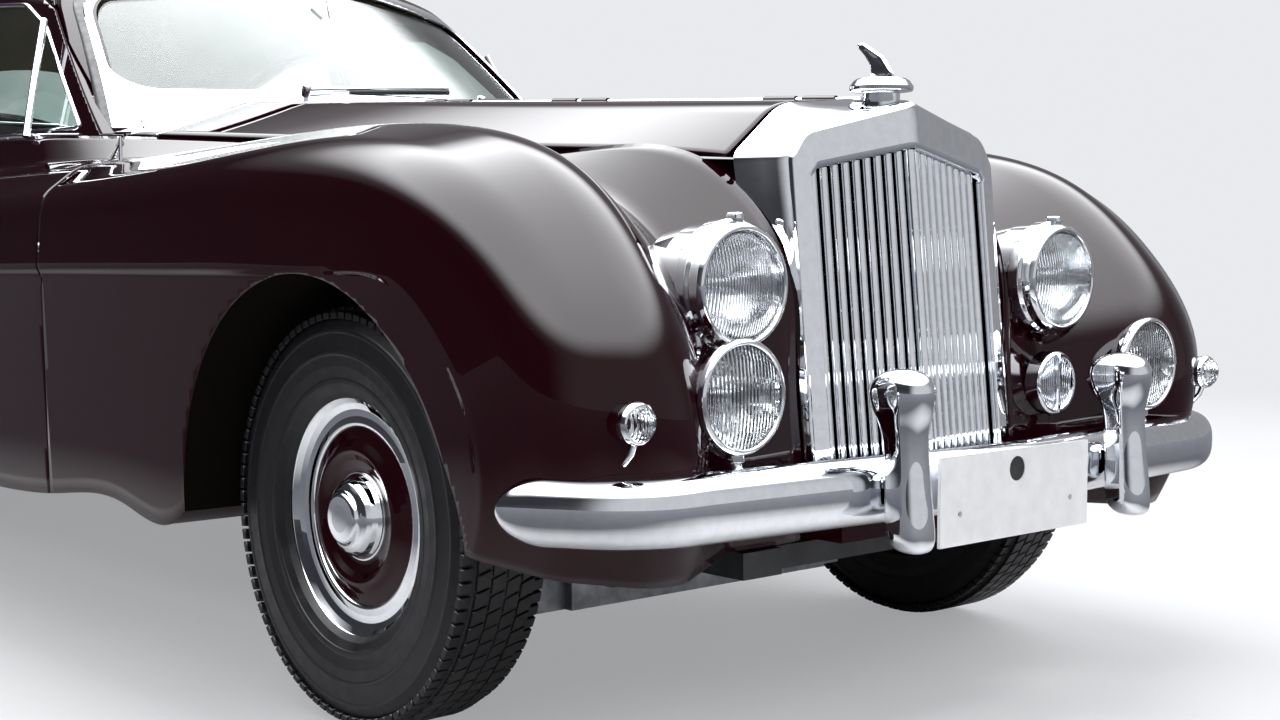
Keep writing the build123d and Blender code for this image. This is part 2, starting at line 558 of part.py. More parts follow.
eye_heights = (axle_z - 112, axle_z + 112)
front_suspension = box(-60, 60, -rail_y, rail_y, 150, rail_bottom)
knuckle_left = rod_z(0, kingpin_y, axle_z, kingpin_radius, 300)
knuckle_left = knuckle_left + box(-30, 30, kingpin_y - 26, kingpin_y + 30, axle_z - 60, axle_z + 60)
for side in (-1, 1):
    for height in eye_heights:
        arm = box(-28, 28, rail_y + rail_width / 2 - 2, kingpin_y, height - 13, height + 13)
        eye = rod_z(0, kingpin_y, height, 26, 30)
        bore = rod_z(0, kingpin_y, height, kingpin_radius + running_clearance, 40)
        placed = (arm + eye) - bore
        front_suspension = front_suspension + (placed if side > 0 else mirrored(placed))
    tower = box(-40, 40, rail_y - 30, rail_y + rail_width / 2 + 20, rail_top, axle_z + 150)
    foot = box(-40, 40, rail_y + rail_width / 2, rail_y + rail_width / 2 + 20, 150, rail_top)
    inner = box(-40, 40, rail_y - 30, rail_y + rail_width / 2 + 20, 150, rail_bottom)
    tower = tower + foot + inner
    front_suspension = front_suspension + (tower if side > 0 else mirrored(tower))
front_suspension = front_suspension - chassis_frame - engine
spindle_length = wheel_y + 60 - kingpin_y
knuckle_left = knuckle_left + rod_y(0, kingpin_y + spindle_length / 2, axle_z, spindle_radius, spindle_length)
knuckle_left = knuckle_left + rod_y(0, kingpin_y + 57, axle_z, 150, 30)

rear_axle = rod_y(-wheelbase, 0, axle_z, 42, 2 * (rear_wheel_y - 60))
rear_axle = rear_axle + Pos(-wheelbase, 0, axle_z) * Sphere(150)
for side in (-1, 1):
    spindle = rod_y(-wheelbase, rear_wheel_y, axle_z, spindle_radius, 120)
    drum = rod_y(-wheelbase, rear_wheel_y - 5, axle_z, 150, 30)
    drum = drum + rod_y(-wheelbase, rear_wheel_y - 45, axle_z, 42, 60)
    spring = box(-wheelbase - 560, -wheelbase + 560, 470, 530, axle_z - 84, axle_z - 37)
    hangers = box(-wheelbase - 560, -wheelbase - 500, rail_y + 40, 530, axle_z - 84, axle_z - 48)
    hangers = hangers + box(-wheelbase + 500, -wheelbase + 560, rail_y + 40, 530, axle_z - 84, axle_z - 48)
    placed = spindle + drum + spring + hangers
    rear_axle = rear_axle + (placed if side > 0 else mirrored(placed))
rear_axle = rear_axle - chassis_frame - propshaft
propshaft = propshaft - rear_axle

# wheel and tyre about the origin, axle along Y, outer side towards +Y
half_rim = rim_width / 2
wheel_profile = [(rim_radius + 12, -half_rim - 8), (rim_radius, -half_rim), (rim_radius, half_rim),
                 (rim_radius + 12, half_rim + 8), (trim_ring_radius - 40, half_rim + 4),
                 (rim_radius - 34, half_rim - 20), (116, half_rim - 22), (112, half_rim - 14), (104, half_rim - 22),
                 (hub_cap_radius, half_rim - 22), (hub_cap_radius, half_rim - 6),
                 (48, half_rim + 16), (0, half_rim + 24), (0, 20), (52, 20), (52, half_rim - 34),
                 (rim_radius - 40, half_rim - 34), (rim_radius - 14, half_rim - 46), (rim_radius - 14, -half_rim - 4)]
wheel_face = make_face(Polyline(*[(r, y, 0) for r, y in wheel_profile], close=True))
wheel = revolve(wheel_face, Axis.Y) - rod_y(0, 30, 0, spindle_radius + running_clearance, 70)
half_tyre = tyre_width / 2
tyre_points = [(rim_radius, -half_rim), (rim_radius + 24, -half_rim - 8), (tyre_radius - 72, -half_tyre),
               (tyre_radius - 16, -half_tyre + 14), (tyre_radius, -half_tyre + 34), (tyre_radius, half_tyre - 34),
               (tyre_radius - 16, half_tyre - 14), (tyre_radius - 72, half_tyre),
               (rim_radius + 24, half_rim + 8), (rim_radius, half_rim)]
tyre_outline = Polyline(*[(r, y, 0) for r, y in tyre_points], close=True)
tyre = revolve(make_face(tyre_outline), Axis.Y) - wheel

# bumpers: a bar bent in plan, with overriders and plates
def bumper(sign, middle_d, shoulder_d, shoulder_y, tip_d, tip_y):
    points = [(tip_d, tip_y), (shoulder_d, shoulder_y), (middle_d, 0), (shoulder_d, -shoulder_y), (tip_d, -tip_y)]
    narrow = 1 - bumper_thickness / tip_y
    inner = [(d - sign * bumper_thickness, y * narrow) for d, y in points]
    face = FilletPolyline(*points, radius=[200, 1400, 200])
    back = FilletPolyline(*inner, radius=[190, 1400, 190])
    ends = [Line(face @ 0, back @ 0), Line(face @ 1, back @ 1)]
    outline = make_face(list(face.edges()) + list(back.edges()) + ends)
    return extrude(Pos(0, 0, bumper_bottom) * outline, bumper_top - bumper_bottom, dir=(0, 0, 1))


def overrider(sign, front_d):
    profile = [(0, 357), (30, 360), (40, 385), (30, 430), (24, 500), (34, 560), (44, 600), (36, 632), (0, 643)]
    radii = [0, 12, 18, 40, 40, 30, 18, 12, 0]
    outline = FilletPolyline(*[(r, 0, z) for r, z in profile], radius=radii, close=True)
    post = revolve(make_face(outline), Axis.Z)
    return Pos(front_d - sign * 44, overrider_y, 0) * post


front_bumper_d = 812.0
rear_bumper_d = tail_d + 50
front_bumper = bumper(1, front_bumper_d, 748.0, 760.0, 545.0, bumper_half_width)
front_overrider = overrider(1, front_overhang)
front_overriders = front_overrider + mirrored(front_overrider)
front_bumper = front_bumper + front_overriders
for side in (-1, 1):
    bracket = box(540, front_bumper_d - 40, side * rail_y - 20, side * rail_y + 20, 400, 440)
    bracket = bracket + box(540, 560, side * rail_y - 20, side * rail_y + 20, rail_top, 400)
    stay = box(fog_d - 25, fog_d + 40, side * fog_y - 12, side * fog_y + 12, 440, 545)
    horn = box(760, 830, side * overrider_y - 14, side * overrider_y + 14, 420, 470)
    front_bumper = front_bumper + (bracket + stay + horn)
fog_lamps = fog_lamp_left + mirrored(fog_lamp_left)
front_bumper = front_bumper - fog_lamps - chassis_frame
rear_bumper = bumper(-1, rear_bumper_d, -4270.0, 760.0, -4080.0, bumper_half_width)
rear_overrider = overrider(-1, tail_d)
rear_overriders = rear_overrider + mirrored(rear_overrider)
for side in (-1, 1):
    bracket = box(rear_bumper_d, -4180, side * rail_y - 20, side * rail_y + 20, 400, 440)
    bracket = bracket + box(-4220, -4180, side * rail_y - 20, side * rail_y + 20, rail_top, 400)
    horn = box(tail_d + 40, tail_d + 110, side * overrider_y - 14, side * overrider_y + 14, 420, 470)
    rear_bumper = rear_bumper + bracket + horn
rear_bumper = rear_bumper + rear_overriders - chassis_frame - tail_panel
front_wing_left = front_wing_left - front_bumper
rear_wing_left = rear_wing_left - rear_bumper
front_plate = box(808, 814, -plate_width / 2, plate_width / 2, 349, 349 + plate_height)
front_plate = front_plate - rod_x(811, 0, 462, plate_hole_radius, 20)
front_plate = front_plate + (box(792, 809, -16, 16, 404, 430) - front_bumper).solids().sort_by(Axis.X)[-1]
for hole_y in (-150.0, 150.0):
    front_plate = front_plate - rod_x(811, hole_y, 400, 5.0, 20)
rear_plate = box(-4292, -4286, -plate_width / 2, plate_width / 2, 560, 560 + plate_height)
tail_lamp_left = rod_x(-4268, 640, 600, 42, 120) - rear_wing_left
front_valance = box(600, 660, -262, 262, 345, 405) + box(560, 600, -262, 262, 345, 414)
front_valance = front_valance - front_wing_left - mirrored(front_wing_left) - chassis_frame - front_bumper
front_valance = front_valance - shell_envelope

# cabin fittings
dashboard = box(-1330, -1150, -600, 600, 850, 1108)
dashboard = dashboard + box(-1150, -960, -300, 300, 900, 960)
dashboard = dashboard - scuttle - front_wing_left - mirrored(front_wing_left)
column_start, column_end = (-1180.0, -370.0, 860.0), (-1620.0, -370.0, 960.0)
column = bar(column_start, column_end, 20.0)
wheel_plane = Plane(origin=column_end, z_dir=Vector(*column_start) - Vector(*column_end))
steering_wheel = column + wheel_plane * Cylinder(40.0, 30.0)
for angle in (90.0, 210.0, 330.0):
    spoke = Rot(0, 0, angle) * Pos(105, 0, 0) * Rot(0, 90, 0) * Cylinder(6.0, 200.0)
    steering_wheel = steering_wheel + wheel_plane * spoke
steering_wheel = (steering_wheel - dashboard).solids().sort_by(SortBy.VOLUME)[-1]
steering_wheel = steering_wheel + wheel_plane * (Cylinder(222.0, 22.0) - Cylinder(200.0, 30.0))
front_seats = None
for side in (-1, 1):
    cushion = box(-2250, -1720, side * 350 - 270, side * 350 + 270, floor_top, 640)
    back = side_prism([(-2250, floor_top), (-2400, 1080), (-2300, 1080), (-2120, 600)],
                      side * 350 - 270, side * 350 + 270)
    seat = cushion + back
    front_seats = seat if front_seats is None else front_seats + seat
rear_seat = box(-3120, -2720, -590, 590, floor_top, 640)
rear_seat = rear_seat + side_prism([(-3120, floor_top), (-3190, 1040), (-3090, 1040), (-2980, 600)], -590, 590)
rear_seat = rear_seat + box(-3540, -3150, -480, 480, 1000, 1020)
rear_seat = rear_seat - rear_wing_left - mirrored(rear_wing_left) - chassis_frame - rear_axle - floor_pan
aerial = rod_z(-1004, -720, 1010, 4, 100) + rod_z(-1004, -720, 1000, 12, 20)
aerial = aerial - mirrored(front_wing_left)
wipers = None
for wiper_y in (-250.0, 250.0):
    pivot = rod_z(-1008, wiper_y, 1160, 9, 60) + bar((-1008, wiper_y, 1184), (-1326, wiper_y, 1400), 6.0)
    pivot = (pivot - scuttle - screen_frame).solids().sort_by(SortBy.VOLUME)[-1]
    wipers = pivot if wipers is None else wipers + pivot

nodes = {
    "front_wing_left": front_wing_left, "front_wing_right": mirrored(front_wing_left),
    "rear_wing_left": rear_wing_left, "rear_wing_right": mirrored(rear_wing_left),
    "roof": roof, "scuttle": scuttle, "screen_frame": screen_frame, "windscreen_glass": windscreen_glass,
    "rear_glass": rear_glass, "quarter_glass": quarter_glass_left + mirrored(quarter_glass_left),
    "door_left": door_left, "door_right": mirrored(door_left),
    "door_glass_left": door_glass_left, "door_glass_right": mirrored(door_glass_left),
    "bonnet_left": bonnet_left, "bonnet_right": bonnet_right, "bonnet_rod": bonnet_rod,
    "boot_lid": boot_lid, "boot_hinge": boot_hinge, "tail_panel": tail_panel,
    "radiator_shell": radiator_shell, "radiator_grille": radiator_grille, "radiator_cap": radiator_cap,
    "headlamps": headlamp_left + mirrored(headlamp_left),
    "headlamp_lenses": headlamp_lens_left + mirrored(headlamp_lens_left),
    "fog_lamps": fog_lamps, "side_lamps": side_lamp_left + mirrored(side_lamp_left),
    "horn_grilles": horn_grille_left + mirrored(horn_grille_left),
    "tail_lamps": tail_lamp_left + mirrored(tail_lamp_left),
    "front_bumper": front_bumper, "front_plate": front_plate, "rear_bumper": rear_bumper, "rear_plate": rear_plate,
    "front_valance": front_valance, "chassis_frame": chassis_frame, "floor_pan": floor_pan, "engine": engine,
    "propshaft": propshaft, "exhaust": exhaust, "fuel_tank": fuel_tank,
    "front_suspension": front_suspension, "rear_axle": rear_axle,
    "knuckle_left": knuckle_left, "knuckle_right": mirrored(knuckle_left),
    "dashboard": dashboard, "steering_wheel": steering_wheel, "front_seats": front_seats, "rear_seat": rear_seat,
    "aerial": aerial, "wipers": wipers,
}
for end, hub_d, hub_y in (("front", 0.0, wheel_y), ("rear", -wheelbase, rear_wheel_y)):
    nodes["wheel_" + end + "_left"] = Pos(hub_d, hub_y, axle_z) * wheel
    nodes["tyre_" + end + "_left"] = Pos(hub_d, hub_y, axle_z) * tyre
    nodes["wheel_" + end + "_right"] = mirrored(Pos(hub_d, hub_y, axle_z) * wheel)
    nodes["tyre_" + end + "_right"] = mirrored(Pos(hub_d, hub_y, axle_z) * tyre)

os.makedirs("parts", exist_ok=True)
for name, shape in nodes.items():
    export_step(Pos(front_axle_x, 0, 0) * shape, "parts/" + name + ".step")
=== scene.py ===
import bpy, bmesh, json, math
import numpy as np
from mathutils import Matrix, Vector
from mathutils.bvhtree import BVHTree


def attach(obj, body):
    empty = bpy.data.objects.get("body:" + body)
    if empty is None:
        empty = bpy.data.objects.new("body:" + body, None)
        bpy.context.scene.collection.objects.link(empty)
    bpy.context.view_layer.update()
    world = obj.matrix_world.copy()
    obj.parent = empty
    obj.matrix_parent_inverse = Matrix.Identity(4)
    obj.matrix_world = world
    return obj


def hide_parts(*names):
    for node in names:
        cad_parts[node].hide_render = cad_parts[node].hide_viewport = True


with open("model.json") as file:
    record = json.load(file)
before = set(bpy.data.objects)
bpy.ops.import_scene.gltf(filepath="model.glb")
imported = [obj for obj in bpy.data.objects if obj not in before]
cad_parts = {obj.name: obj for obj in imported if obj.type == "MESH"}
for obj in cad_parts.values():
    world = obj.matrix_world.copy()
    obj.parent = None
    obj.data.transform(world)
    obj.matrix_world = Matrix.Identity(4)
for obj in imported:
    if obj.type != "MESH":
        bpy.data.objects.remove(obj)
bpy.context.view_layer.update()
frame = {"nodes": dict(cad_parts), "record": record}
nodes = frame["nodes"]
axleX = 1752.5  # front axle ahead of the frame's origin, mm
wheelBase, wheelHigh = 3048.0, 365.0  # between the axles, and an axle above the road, mm
skinLift = 2.4  # how far the smooth skins stand off the solids, mm
archRadius = 421.0
bothSides = ((1, "left"), (-1, "right"))
print("stage: frame loaded")


def toFrame(points):
    flat = np.asarray(points, float).copy()
    flat[..., 0] += axleX
    return flat / 1000.0


def colour(code):
    parts = [int(code[i:i + 2], 16) / 255.0 for i in (1, 3, 5)]
    line = [p / 12.92 if p <= 0.04045 else ((p + 0.055) / 1.055) ** 2.4 for p in parts]
    return (*line, 1.0)


def addNode(tree, kind, inputs=None, **settings):
    node = tree.nodes.new(kind)
    for key, value in settings.items():
        setattr(node, key, value)
    for key, value in (inputs or {}).items():
        socket = node.inputs[key]
        if isinstance(value, bpy.types.NodeSocket):
            tree.links.new(value, socket)
        else:
            socket.default_value = value
    return node


def mathNode(tree, operation, *values):
    return addNode(tree, "ShaderNodeMath", dict(enumerate(values)), operation=operation).outputs[0]


def lengthOf(tree, vector):
    return addNode(tree, "ShaderNodeVectorMath", {0: vector}, operation="LENGTH").outputs["Value"]


def mixColours(tree, share, first, second):
    return addNode(tree, "ShaderNodeMix", {0: share, 6: first, 7: second}, data_type="RGBA").outputs[2]


def ranged(tree, value, low, high, toLow=0.0, toHigh=1.0, kind="LINEAR"):
    limits = {"Value": value, "From Min": low, "From Max": high, "To Min": toLow, "To Max": toHigh}
    return addNode(tree, "ShaderNodeMapRange", limits, interpolation_type=kind).outputs[0]


def newMaterial(name):
    made = bpy.data.materials.new(name)
    made.use_nodes = True
    tree = made.node_tree
    tree.nodes.clear()
    shader = addNode(tree, "ShaderNodeBsdfPrincipled")
    out = addNode(tree, "ShaderNodeOutputMaterial", {"Surface": shader.outputs[0]})
    place = addNode(tree, "ShaderNodeTexCoord")
    return made, tree, shader, place.outputs["Object"], out


def noiseBetween(tree, place, scale, first, second):
    noise = addNode(tree, "ShaderNodeTexNoise", {"Vector": place, "Scale": scale,
                                                 "Detail": 3.0}).outputs["Fac"]
    return mixColours(tree, ranged(tree, noise, 0.35, 0.65), colour(first), colour(second)), noise


def roughBetween(tree, place, shader, scale, low, high):
    noise = addNode(tree, "ShaderNodeTexNoise", {"Vector": place, "Scale": scale,
                                                 "Detail": 2.0}).outputs["Fac"]
    tree.links.new(ranged(tree, noise, 0.3, 0.7, low, high), shader.inputs["Roughness"])


def addBump(tree, shader, height, depth):
    bump = addNode(tree, "ShaderNodeBump", {"Height": height, "Distance": depth, "Strength": 1.0})
    tree.links.new(bump.outputs[0], shader.inputs["Normal"])


def finish(shader, **values):
    names = {"metal": "Metallic", "rough": "Roughness", "coat": "Coat Weight", "coatRough": "Coat Roughness",
             "coatIor": "Coat IOR", "clear": "Transmission Weight", "ior": "IOR",
             "spec": "Specular IOR Level"}
    for key, value in values.items():
        shader.inputs[names[key]].default_value = value


# deep cellulose paint under clear lacquer; wheel wells are sprayed with black underseal
def makePaint(name, first, second, wells):
    made, tree, shader, place, out = newMaterial(name)
    tone, fac = noiseBetween(tree, place, 900.0, first, second)
    finish(shader, rough=0.4, coat=1.0, coatRough=0.012, coatIor=1.34, spec=0.0)
    if wells:
        parts = addNode(tree, "ShaderNodeSeparateXYZ", {"Vector": place}).outputs
        inWell = 0.0
        for wheelX in (axleX, axleX - wheelBase):
            dx = mathNode(tree, "SUBTRACT", parts[0], wheelX / 1000)
            dz = mathNode(tree, "SUBTRACT", parts[2], wheelHigh / 1000)
            size = lengthOf(tree, addNode(tree, "ShaderNodeCombineXYZ", {0: dx, 1: dz}).outputs[0])
            inWell = mathNode(tree, "MAXIMUM", mathNode(tree, "LESS_THAN", size, 0.4225), inWell)
        tone = mixColours(tree, inWell, tone, colour("#141210"))
        tree.links.new(mathNode(tree, "SUBTRACT", 1.0, inWell), shader.inputs["Coat Weight"])
    tree.links.new(tone, shader.inputs["Base Color"])
    return made


# bright plate on steel
def makeChrome(name, tone, low, high):
    made, tree, shader, place, out = newMaterial(name)
    mixed, fac = noiseBetween(tree, place, 60.0, tone, "#e4e7eb")
    tree.links.new(mixed, shader.inputs["Base Color"])
    finish(shader, metal=1.0)
    roughBetween(tree, place, shader, 90.0, low, high)
    return made


# one even material, mottled a little in colour and shine
def makePlain(name, first, second, scale, low, high, bump=0.0, **values):
    made, tree, shader, place, out = newMaterial(name)
    mixed, fac = noiseBetween(tree, place, scale, first, second)
    tree.links.new(mixed, shader.inputs["Base Color"])
    roughBetween(tree, place, shader, scale * 0.7, low, high)
    if bump:
        addBump(tree, shader, fac, bump)
    finish(shader, **values)
    return made


# thin toughened glass: clear straight on, a mirror at a glance
def makeGlass(name, tint, mirror):
    made, tree, shader, place, out = newMaterial(name)
    clear = addNode(tree, "ShaderNodeBsdfTransparent")
    tone, fac = noiseBetween(tree, place, 3.0, tint, "#f4f8f6")
    tree.links.new(tone, clear.inputs[0])
    shine = addNode(tree, "ShaderNodeBsdfGlossy", {"Roughness": 0.0})
    facing = addNode(tree, "ShaderNodeLayerWeight", {"Blend": 0.5}).outputs["Facing"]
    steep = mathNode(tree, "POWER", facing, 5.0)
    glance = mathNode(tree, "MULTIPLY_ADD", steep, 1.0 - mirror, mirror)
    both = addNode(tree, "ShaderNodeMixShader", {0: glance, 1: clear.outputs[0], 2: shine.outputs[0]})
    tree.links.new(both.outputs[0], out.inputs["Surface"])
    tree.nodes.remove(shader)
    return made


# pressed lamp glass, fluted on its inner face
def makeLens(name, tint, across, depth):
    made, tree, shader, place, out = newMaterial(name)
    finish(shader, clear=1.0, rough=0.03, ior=1.46)
    tone, fac = noiseBetween(tree, place, 20.0, tint, "#ffffff")
    tree.links.new(tone, shader.inputs["Base Color"])
    wave = addNode(tree, "ShaderNodeTexWave", {"Vector": place, "Scale": across}, bands_direction="Y",
                   wave_profile="SIN")
    addBump(tree, shader, wave.outputs["Fac"], depth)
    return made


# polished walnut on the dashboard
def makeWood(name):
    made, tree, shader, place, out = newMaterial(name)
    wave = addNode(tree, "ShaderNodeTexWave", {"Vector": place, "Scale": 6.0, "Distortion": 9.0,
                                              "Detail": 4.0, "Detail Scale": 1.6}, bands_direction="Z")
    tone = mixColours(tree, wave.outputs["Fac"], colour("#4a2410"), colour("#7d4420"))
    tree.links.new(tone, shader.inputs["Base Color"])
    finish(shader, rough=0.25, coat=1.0, coatRough=0.05)
    return made


paint = makePaint("bodyPaint", "#1b0308", "#21050c", False)
shellPaint = makePaint("bodyPaintInner", "#1b0308", "#21050c", True)
wheelPaint = makePaint("wheelPaint", "#1d0409", "#24060c", False)
chrome = makeChrome("brightPlate", "#eceef1", 0.012, 0.03)
rubber = makePlain("tyreRubber", "#0d0d0f", "#131316", 60.0, 0.36, 0.5, 0.0002, spec=0.35)
seal = makePlain("rubberSeal", "#0b0b0c", "#131314", 80.0, 0.4, 0.6)  # extruded rubber
chassisBlack = makePlain("chassisBlack", "#17181a", "#202123", 30.0, 0.35, 0.6, 0.0004)  # enamel on steel
steelGrey = makePlain("steelGrey", "#6d6f72", "#85878a", 40.0, 0.3, 0.5, metal=1.0)  # bare mild steel
engineIron = makePlain("engineIron", "#34373a", "#45484b", 25.0, 0.5, 0.75, 0.001)  # cast iron
blackPlastic = makePlain("blackPlastic", "#101011", "#1a1a1b", 70.0, 0.25, 0.4)  # moulded phenolic resin
platePale = makePlain("platePale", "#e4e4e6", "#ececee", 30.0, 0.3, 0.4)  # painted pressed metal
plateFinish = makePlain("plateBlack", "#0f0f10", "#171718", 50.0, 0.3, 0.45)  # black pressed metal
carpet = makePlain("carpet", "#2a1210", "#3a1a16", 300.0, 0.9, 1.0, 0.002)  # wool pile
hide = makePlain("seatHide", "#6d4a32", "#7a553a", 220.0, 0.4, 0.55, 0.0006)  # stitched leather
headlining = makePlain("headlining", "#a79b88", "#b5a995", 260.0, 0.85, 0.95, 0.0004)  # wool cloth
glass = makeGlass("windowGlass", "#e6efec", 0.045)
lampGlass = makeLens("lampGlass", "#f4f7f8", 55.0, 0.0012)
fogGlass = makeLens("fogGlass", "#f4f7f8", 42.0, 0.0016)
redLens = makePlain("redLens", "#7d0608", "#94090c", 30.0, 0.08, 0.15, coat=1.0)  # red moulded glass
wood = makeWood("walnutVeneer")
reflector = makeChrome("lampReflector", "#eef0f2", 0.04, 0.1)  # silvered brass
coreDarkAndHoleShade = makePlain("radiatorCoreAndHoleShade", "#0c0d0e", "#1b1c1e", 400.0, 0.6, 0.8, 0.002)  # painted brass core; the same dark paints shade in the starting-handle hole
bright = (chrome, "car_body", "chrome")
panel = (paint, "car_body", "paint")
print("stage: materials made")


def enter(name, mesh, material, body, slot):
    mesh.materials.append(material)
    mesh.polygons.foreach_set("use_smooth", [True] * len(mesh.polygons))
    made = bpy.data.objects.new(name, mesh)
    bpy.context.scene.collection.objects.link(made)
    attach(made, body)
    return made


def linkMesh(name, verts, faces, material, body, slot, weld=0.0):
    mesh = bpy.data.meshes.new(name)
    mesh.from_pydata([tuple(v) for v in verts], [], faces)
    if weld:
        work = bmesh.new()
        work.from_mesh(mesh)
        bmesh.ops.remove_doubles(work, verts=work.verts, dist=weld)
        bmesh.ops.dissolve_degenerate(work, edges=work.edges, dist=1e-6)
        work.to_mesh(mesh)
        work.free()
    mesh.validate()
    mesh.update()
    return enter(name, mesh, material, body, slot)


def gridQuads(rows, cols):
    return [(i * cols + j, (i + 1) * cols + j, (i + 1) * cols + j + 1, i * cols + j + 1)
            for i in range(rows - 1) for j in range(cols - 1)]


def ringQuads(rows, count):
    return [(i * count + k, i * count + (k + 1) % count, (i + 1) * count + (k + 1) % count,
            (i + 1) * count + k) for i in range(rows - 1) for k in range(count)]


def fixNormals(made):
    work = bmesh.new()
    work.from_mesh(made.data)
    bmesh.ops.recalc_face_normals(work, faces=work.faces)
    work.to_mesh(made.data)
    work.free()
    return made


def bake(made):
    view = bpy.context.evaluated_depsgraph_get()
    view.update()
    mesh = bpy.data.meshes.new_from_object(made.evaluated_get(view))
    old = made.data
    made.modifiers.clear()
    made.data = mesh
    bpy.data.meshes.remove(old)
    return made


def solidify(made, thickness):
    mod = made.modifiers.new("thickness", "SOLIDIFY")
    mod.thickness = thickness
    mod.offset = -1.0
    mod.use_even_offset = False
    return bake(made)


def turnAbout(made, spot, degrees):
    pivot = Vector(toFrame([spot])[0])
    turn = Matrix.Rotation(math.radians(degrees), 4, "Y")
    made.data.transform(Matrix.Translation(pivot) @ turn @ Matrix.Translation(-pivot))


def sharpAt(made, degrees):
    made.data.set_sharp_from_angle(angle=math.radians(degrees))
    return made


# straight runs joined by arcs, with a fixed count of points so that rows can be lofted
def roundedPath(points, radii, lineSteps, arcSteps):
    path = []
    count = len(points)
    points = [np.asarray(p, float) for p in points]
    prev = points[0]
    path.append(prev)
    for i in range(1, count):
        if i < count - 1:
            a, b, c = points[i - 1], points[i], points[i + 1]
            u = (a - b) / np.linalg.norm(a - b)
            v = (c - b) / np.linalg.norm(c - b)
            half = math.acos(max(-1.0, min(1.0, float(u @ v)))) / 2
            room = 0.499 * min(np.linalg.norm(a - b), np.linalg.norm(c - b))
            reach = min(radii[i] / max(math.tan(half), 1e-6), room)
            radius = reach * math.tan(half)
            start, end = b + u * reach, b + v * reach
            bis = (u + v) / max(np.linalg.norm(u + v), 1e-9)
            centre = b + bis * radius / max(math.sin(half), 1e-6)
            steps = arcSteps if np.isscalar(arcSteps) else arcSteps[i]
        else:
            start = end = points[i]
            steps = 0
        lines = lineSteps if np.isscalar(lineSteps) else lineSteps[i - 1]
        for k in range(1, lines + 1):
            path.append(prev + (start - prev) * k / lines)
        if steps:
            for k in range(1, steps + 1):
                t = k / steps
                p = (1 - t) * (start - centre) + t * (end - centre)
                path.append(centre + p * radius / max(np.linalg.norm(p), 1e-9))
        prev = end
    return np.array(path)


# cubic spline through whole rows of points
def splineRows(rows, steps):
    rows = np.asarray(rows, float)
    gaps = np.linalg.norm(np.diff(rows, axis=0), axis=2).mean(axis=1)
    t = np.concatenate([[0], np.cumsum(gaps)])
    n = len(t)
    flat = rows.reshape(n, -1)
    a = np.zeros((n, n))
    rhs = np.zeros_like(flat)
    h = np.diff(t)
    a[0, 0], a[0, 1], a[0, 2] = h[1], -(h[0] + h[1]), h[0]
    a[-1, -1], a[-1, -2], a[-1, -3] = h[-2], -(h[-1] + h[-2]), h[-1]
    for i in range(1, n - 1):
        a[i, i - 1], a[i, i], a[i, i + 1] = h[i - 1], 2 * (h[i - 1] + h[i]), h[i]
        rhs[i] = 6 * ((flat[i + 1] - flat[i]) / h[i] - (flat[i] - flat[i - 1]) / h[i - 1])
    m = np.linalg.solve(a, rhs)
    out = []
    for s in np.linspace(0, t[-1], steps + 1):
        i = min(max(int(np.searchsorted(t, s)) - 1, 0), n - 2)
        b = (s - t[i]) / h[i]
        c = 1 - b
        value = c * flat[i] + b * flat[i + 1] + ((c ** 3 - c) * m[i] + (b ** 3 - b) * m[i + 1]) * h[i] ** 2 / 6
        out.append(value.reshape(rows.shape[1:]))
    return np.array(out)


def gridNormals(grid):
    du = np.gradient(grid, axis=0)
    dv = np.gradient(grid, axis=1)
    n = np.cross(du, dv)
    return n / np.maximum(np.linalg.norm(n, axis=2, keepdims=True), 1e-9)


def facing(grid, row, column, axis):
    return grid if gridNormals(grid)[row, column, axis] > 0 else grid[:, ::-1]


# grid cut along the zero line of signed fields, with its edge points pulled onto that line
def trimmedGrid(grid, fields):
    rows, cols = grid.shape[:2]
    value = np.full((rows, cols), 1e9)
    for field in fields:
        value = np.minimum(value, field(grid))
    keep = value > 0
    points = grid.reshape(-1, 3).copy()
    flat, kept = value.reshape(-1), keep.reshape(-1)
    faces = [quad for quad in gridQuads(rows, cols) if kept[list(quad)].any()]
    used = set(k for face in faces for k in face)
    moved = points.copy()
    for k in used:
        if kept[k]:
            continue
        i, j = divmod(k, cols)
        cuts = []
        for ring in (((-1, 0), (1, 0), (0, -1), (0, 1)), ((-1, -1), (1, 1), (-1, 1), (1, -1))):
            for di, dj in ring:
                a, b = i + di, j + dj
                if 0 <= a < rows and 0 <= b < cols and keep[a, b]:
                    other = a * cols + b
                    share = flat[other] / (flat[other] - flat[k])
                    cuts.append(points[other] + (points[k] - points[other]) * share)
            if cuts:
                break
        if cuts:
            moved[k] = np.mean(cuts, axis=0)
    edge = np.array([k for k in used if not kept[k]], int)
    for turn in range(3):
        if not len(edge):
            break
        spots = moved[edge].reshape(-1, 1, 3)
        here = np.min([field(spots) for field in fields], axis=0)
        slope = np.stack([np.min([field(spots + shift) for field in fields], axis=0) - here
                          for shift in np.eye(3) * 0.5], axis=-1) / 0.5
        size = np.maximum((slope ** 2).sum(axis=-1, keepdims=True), 0.05)
        pull = np.clip(-here[..., None] * slope / size, -14, 14)
        moved[edge] = (spots + pull).reshape(-1, 3)
    order = {k: n for n, k in enumerate(sorted(used))}
    return moved[sorted(used)], [tuple(order[k] for k in face) for face in faces]


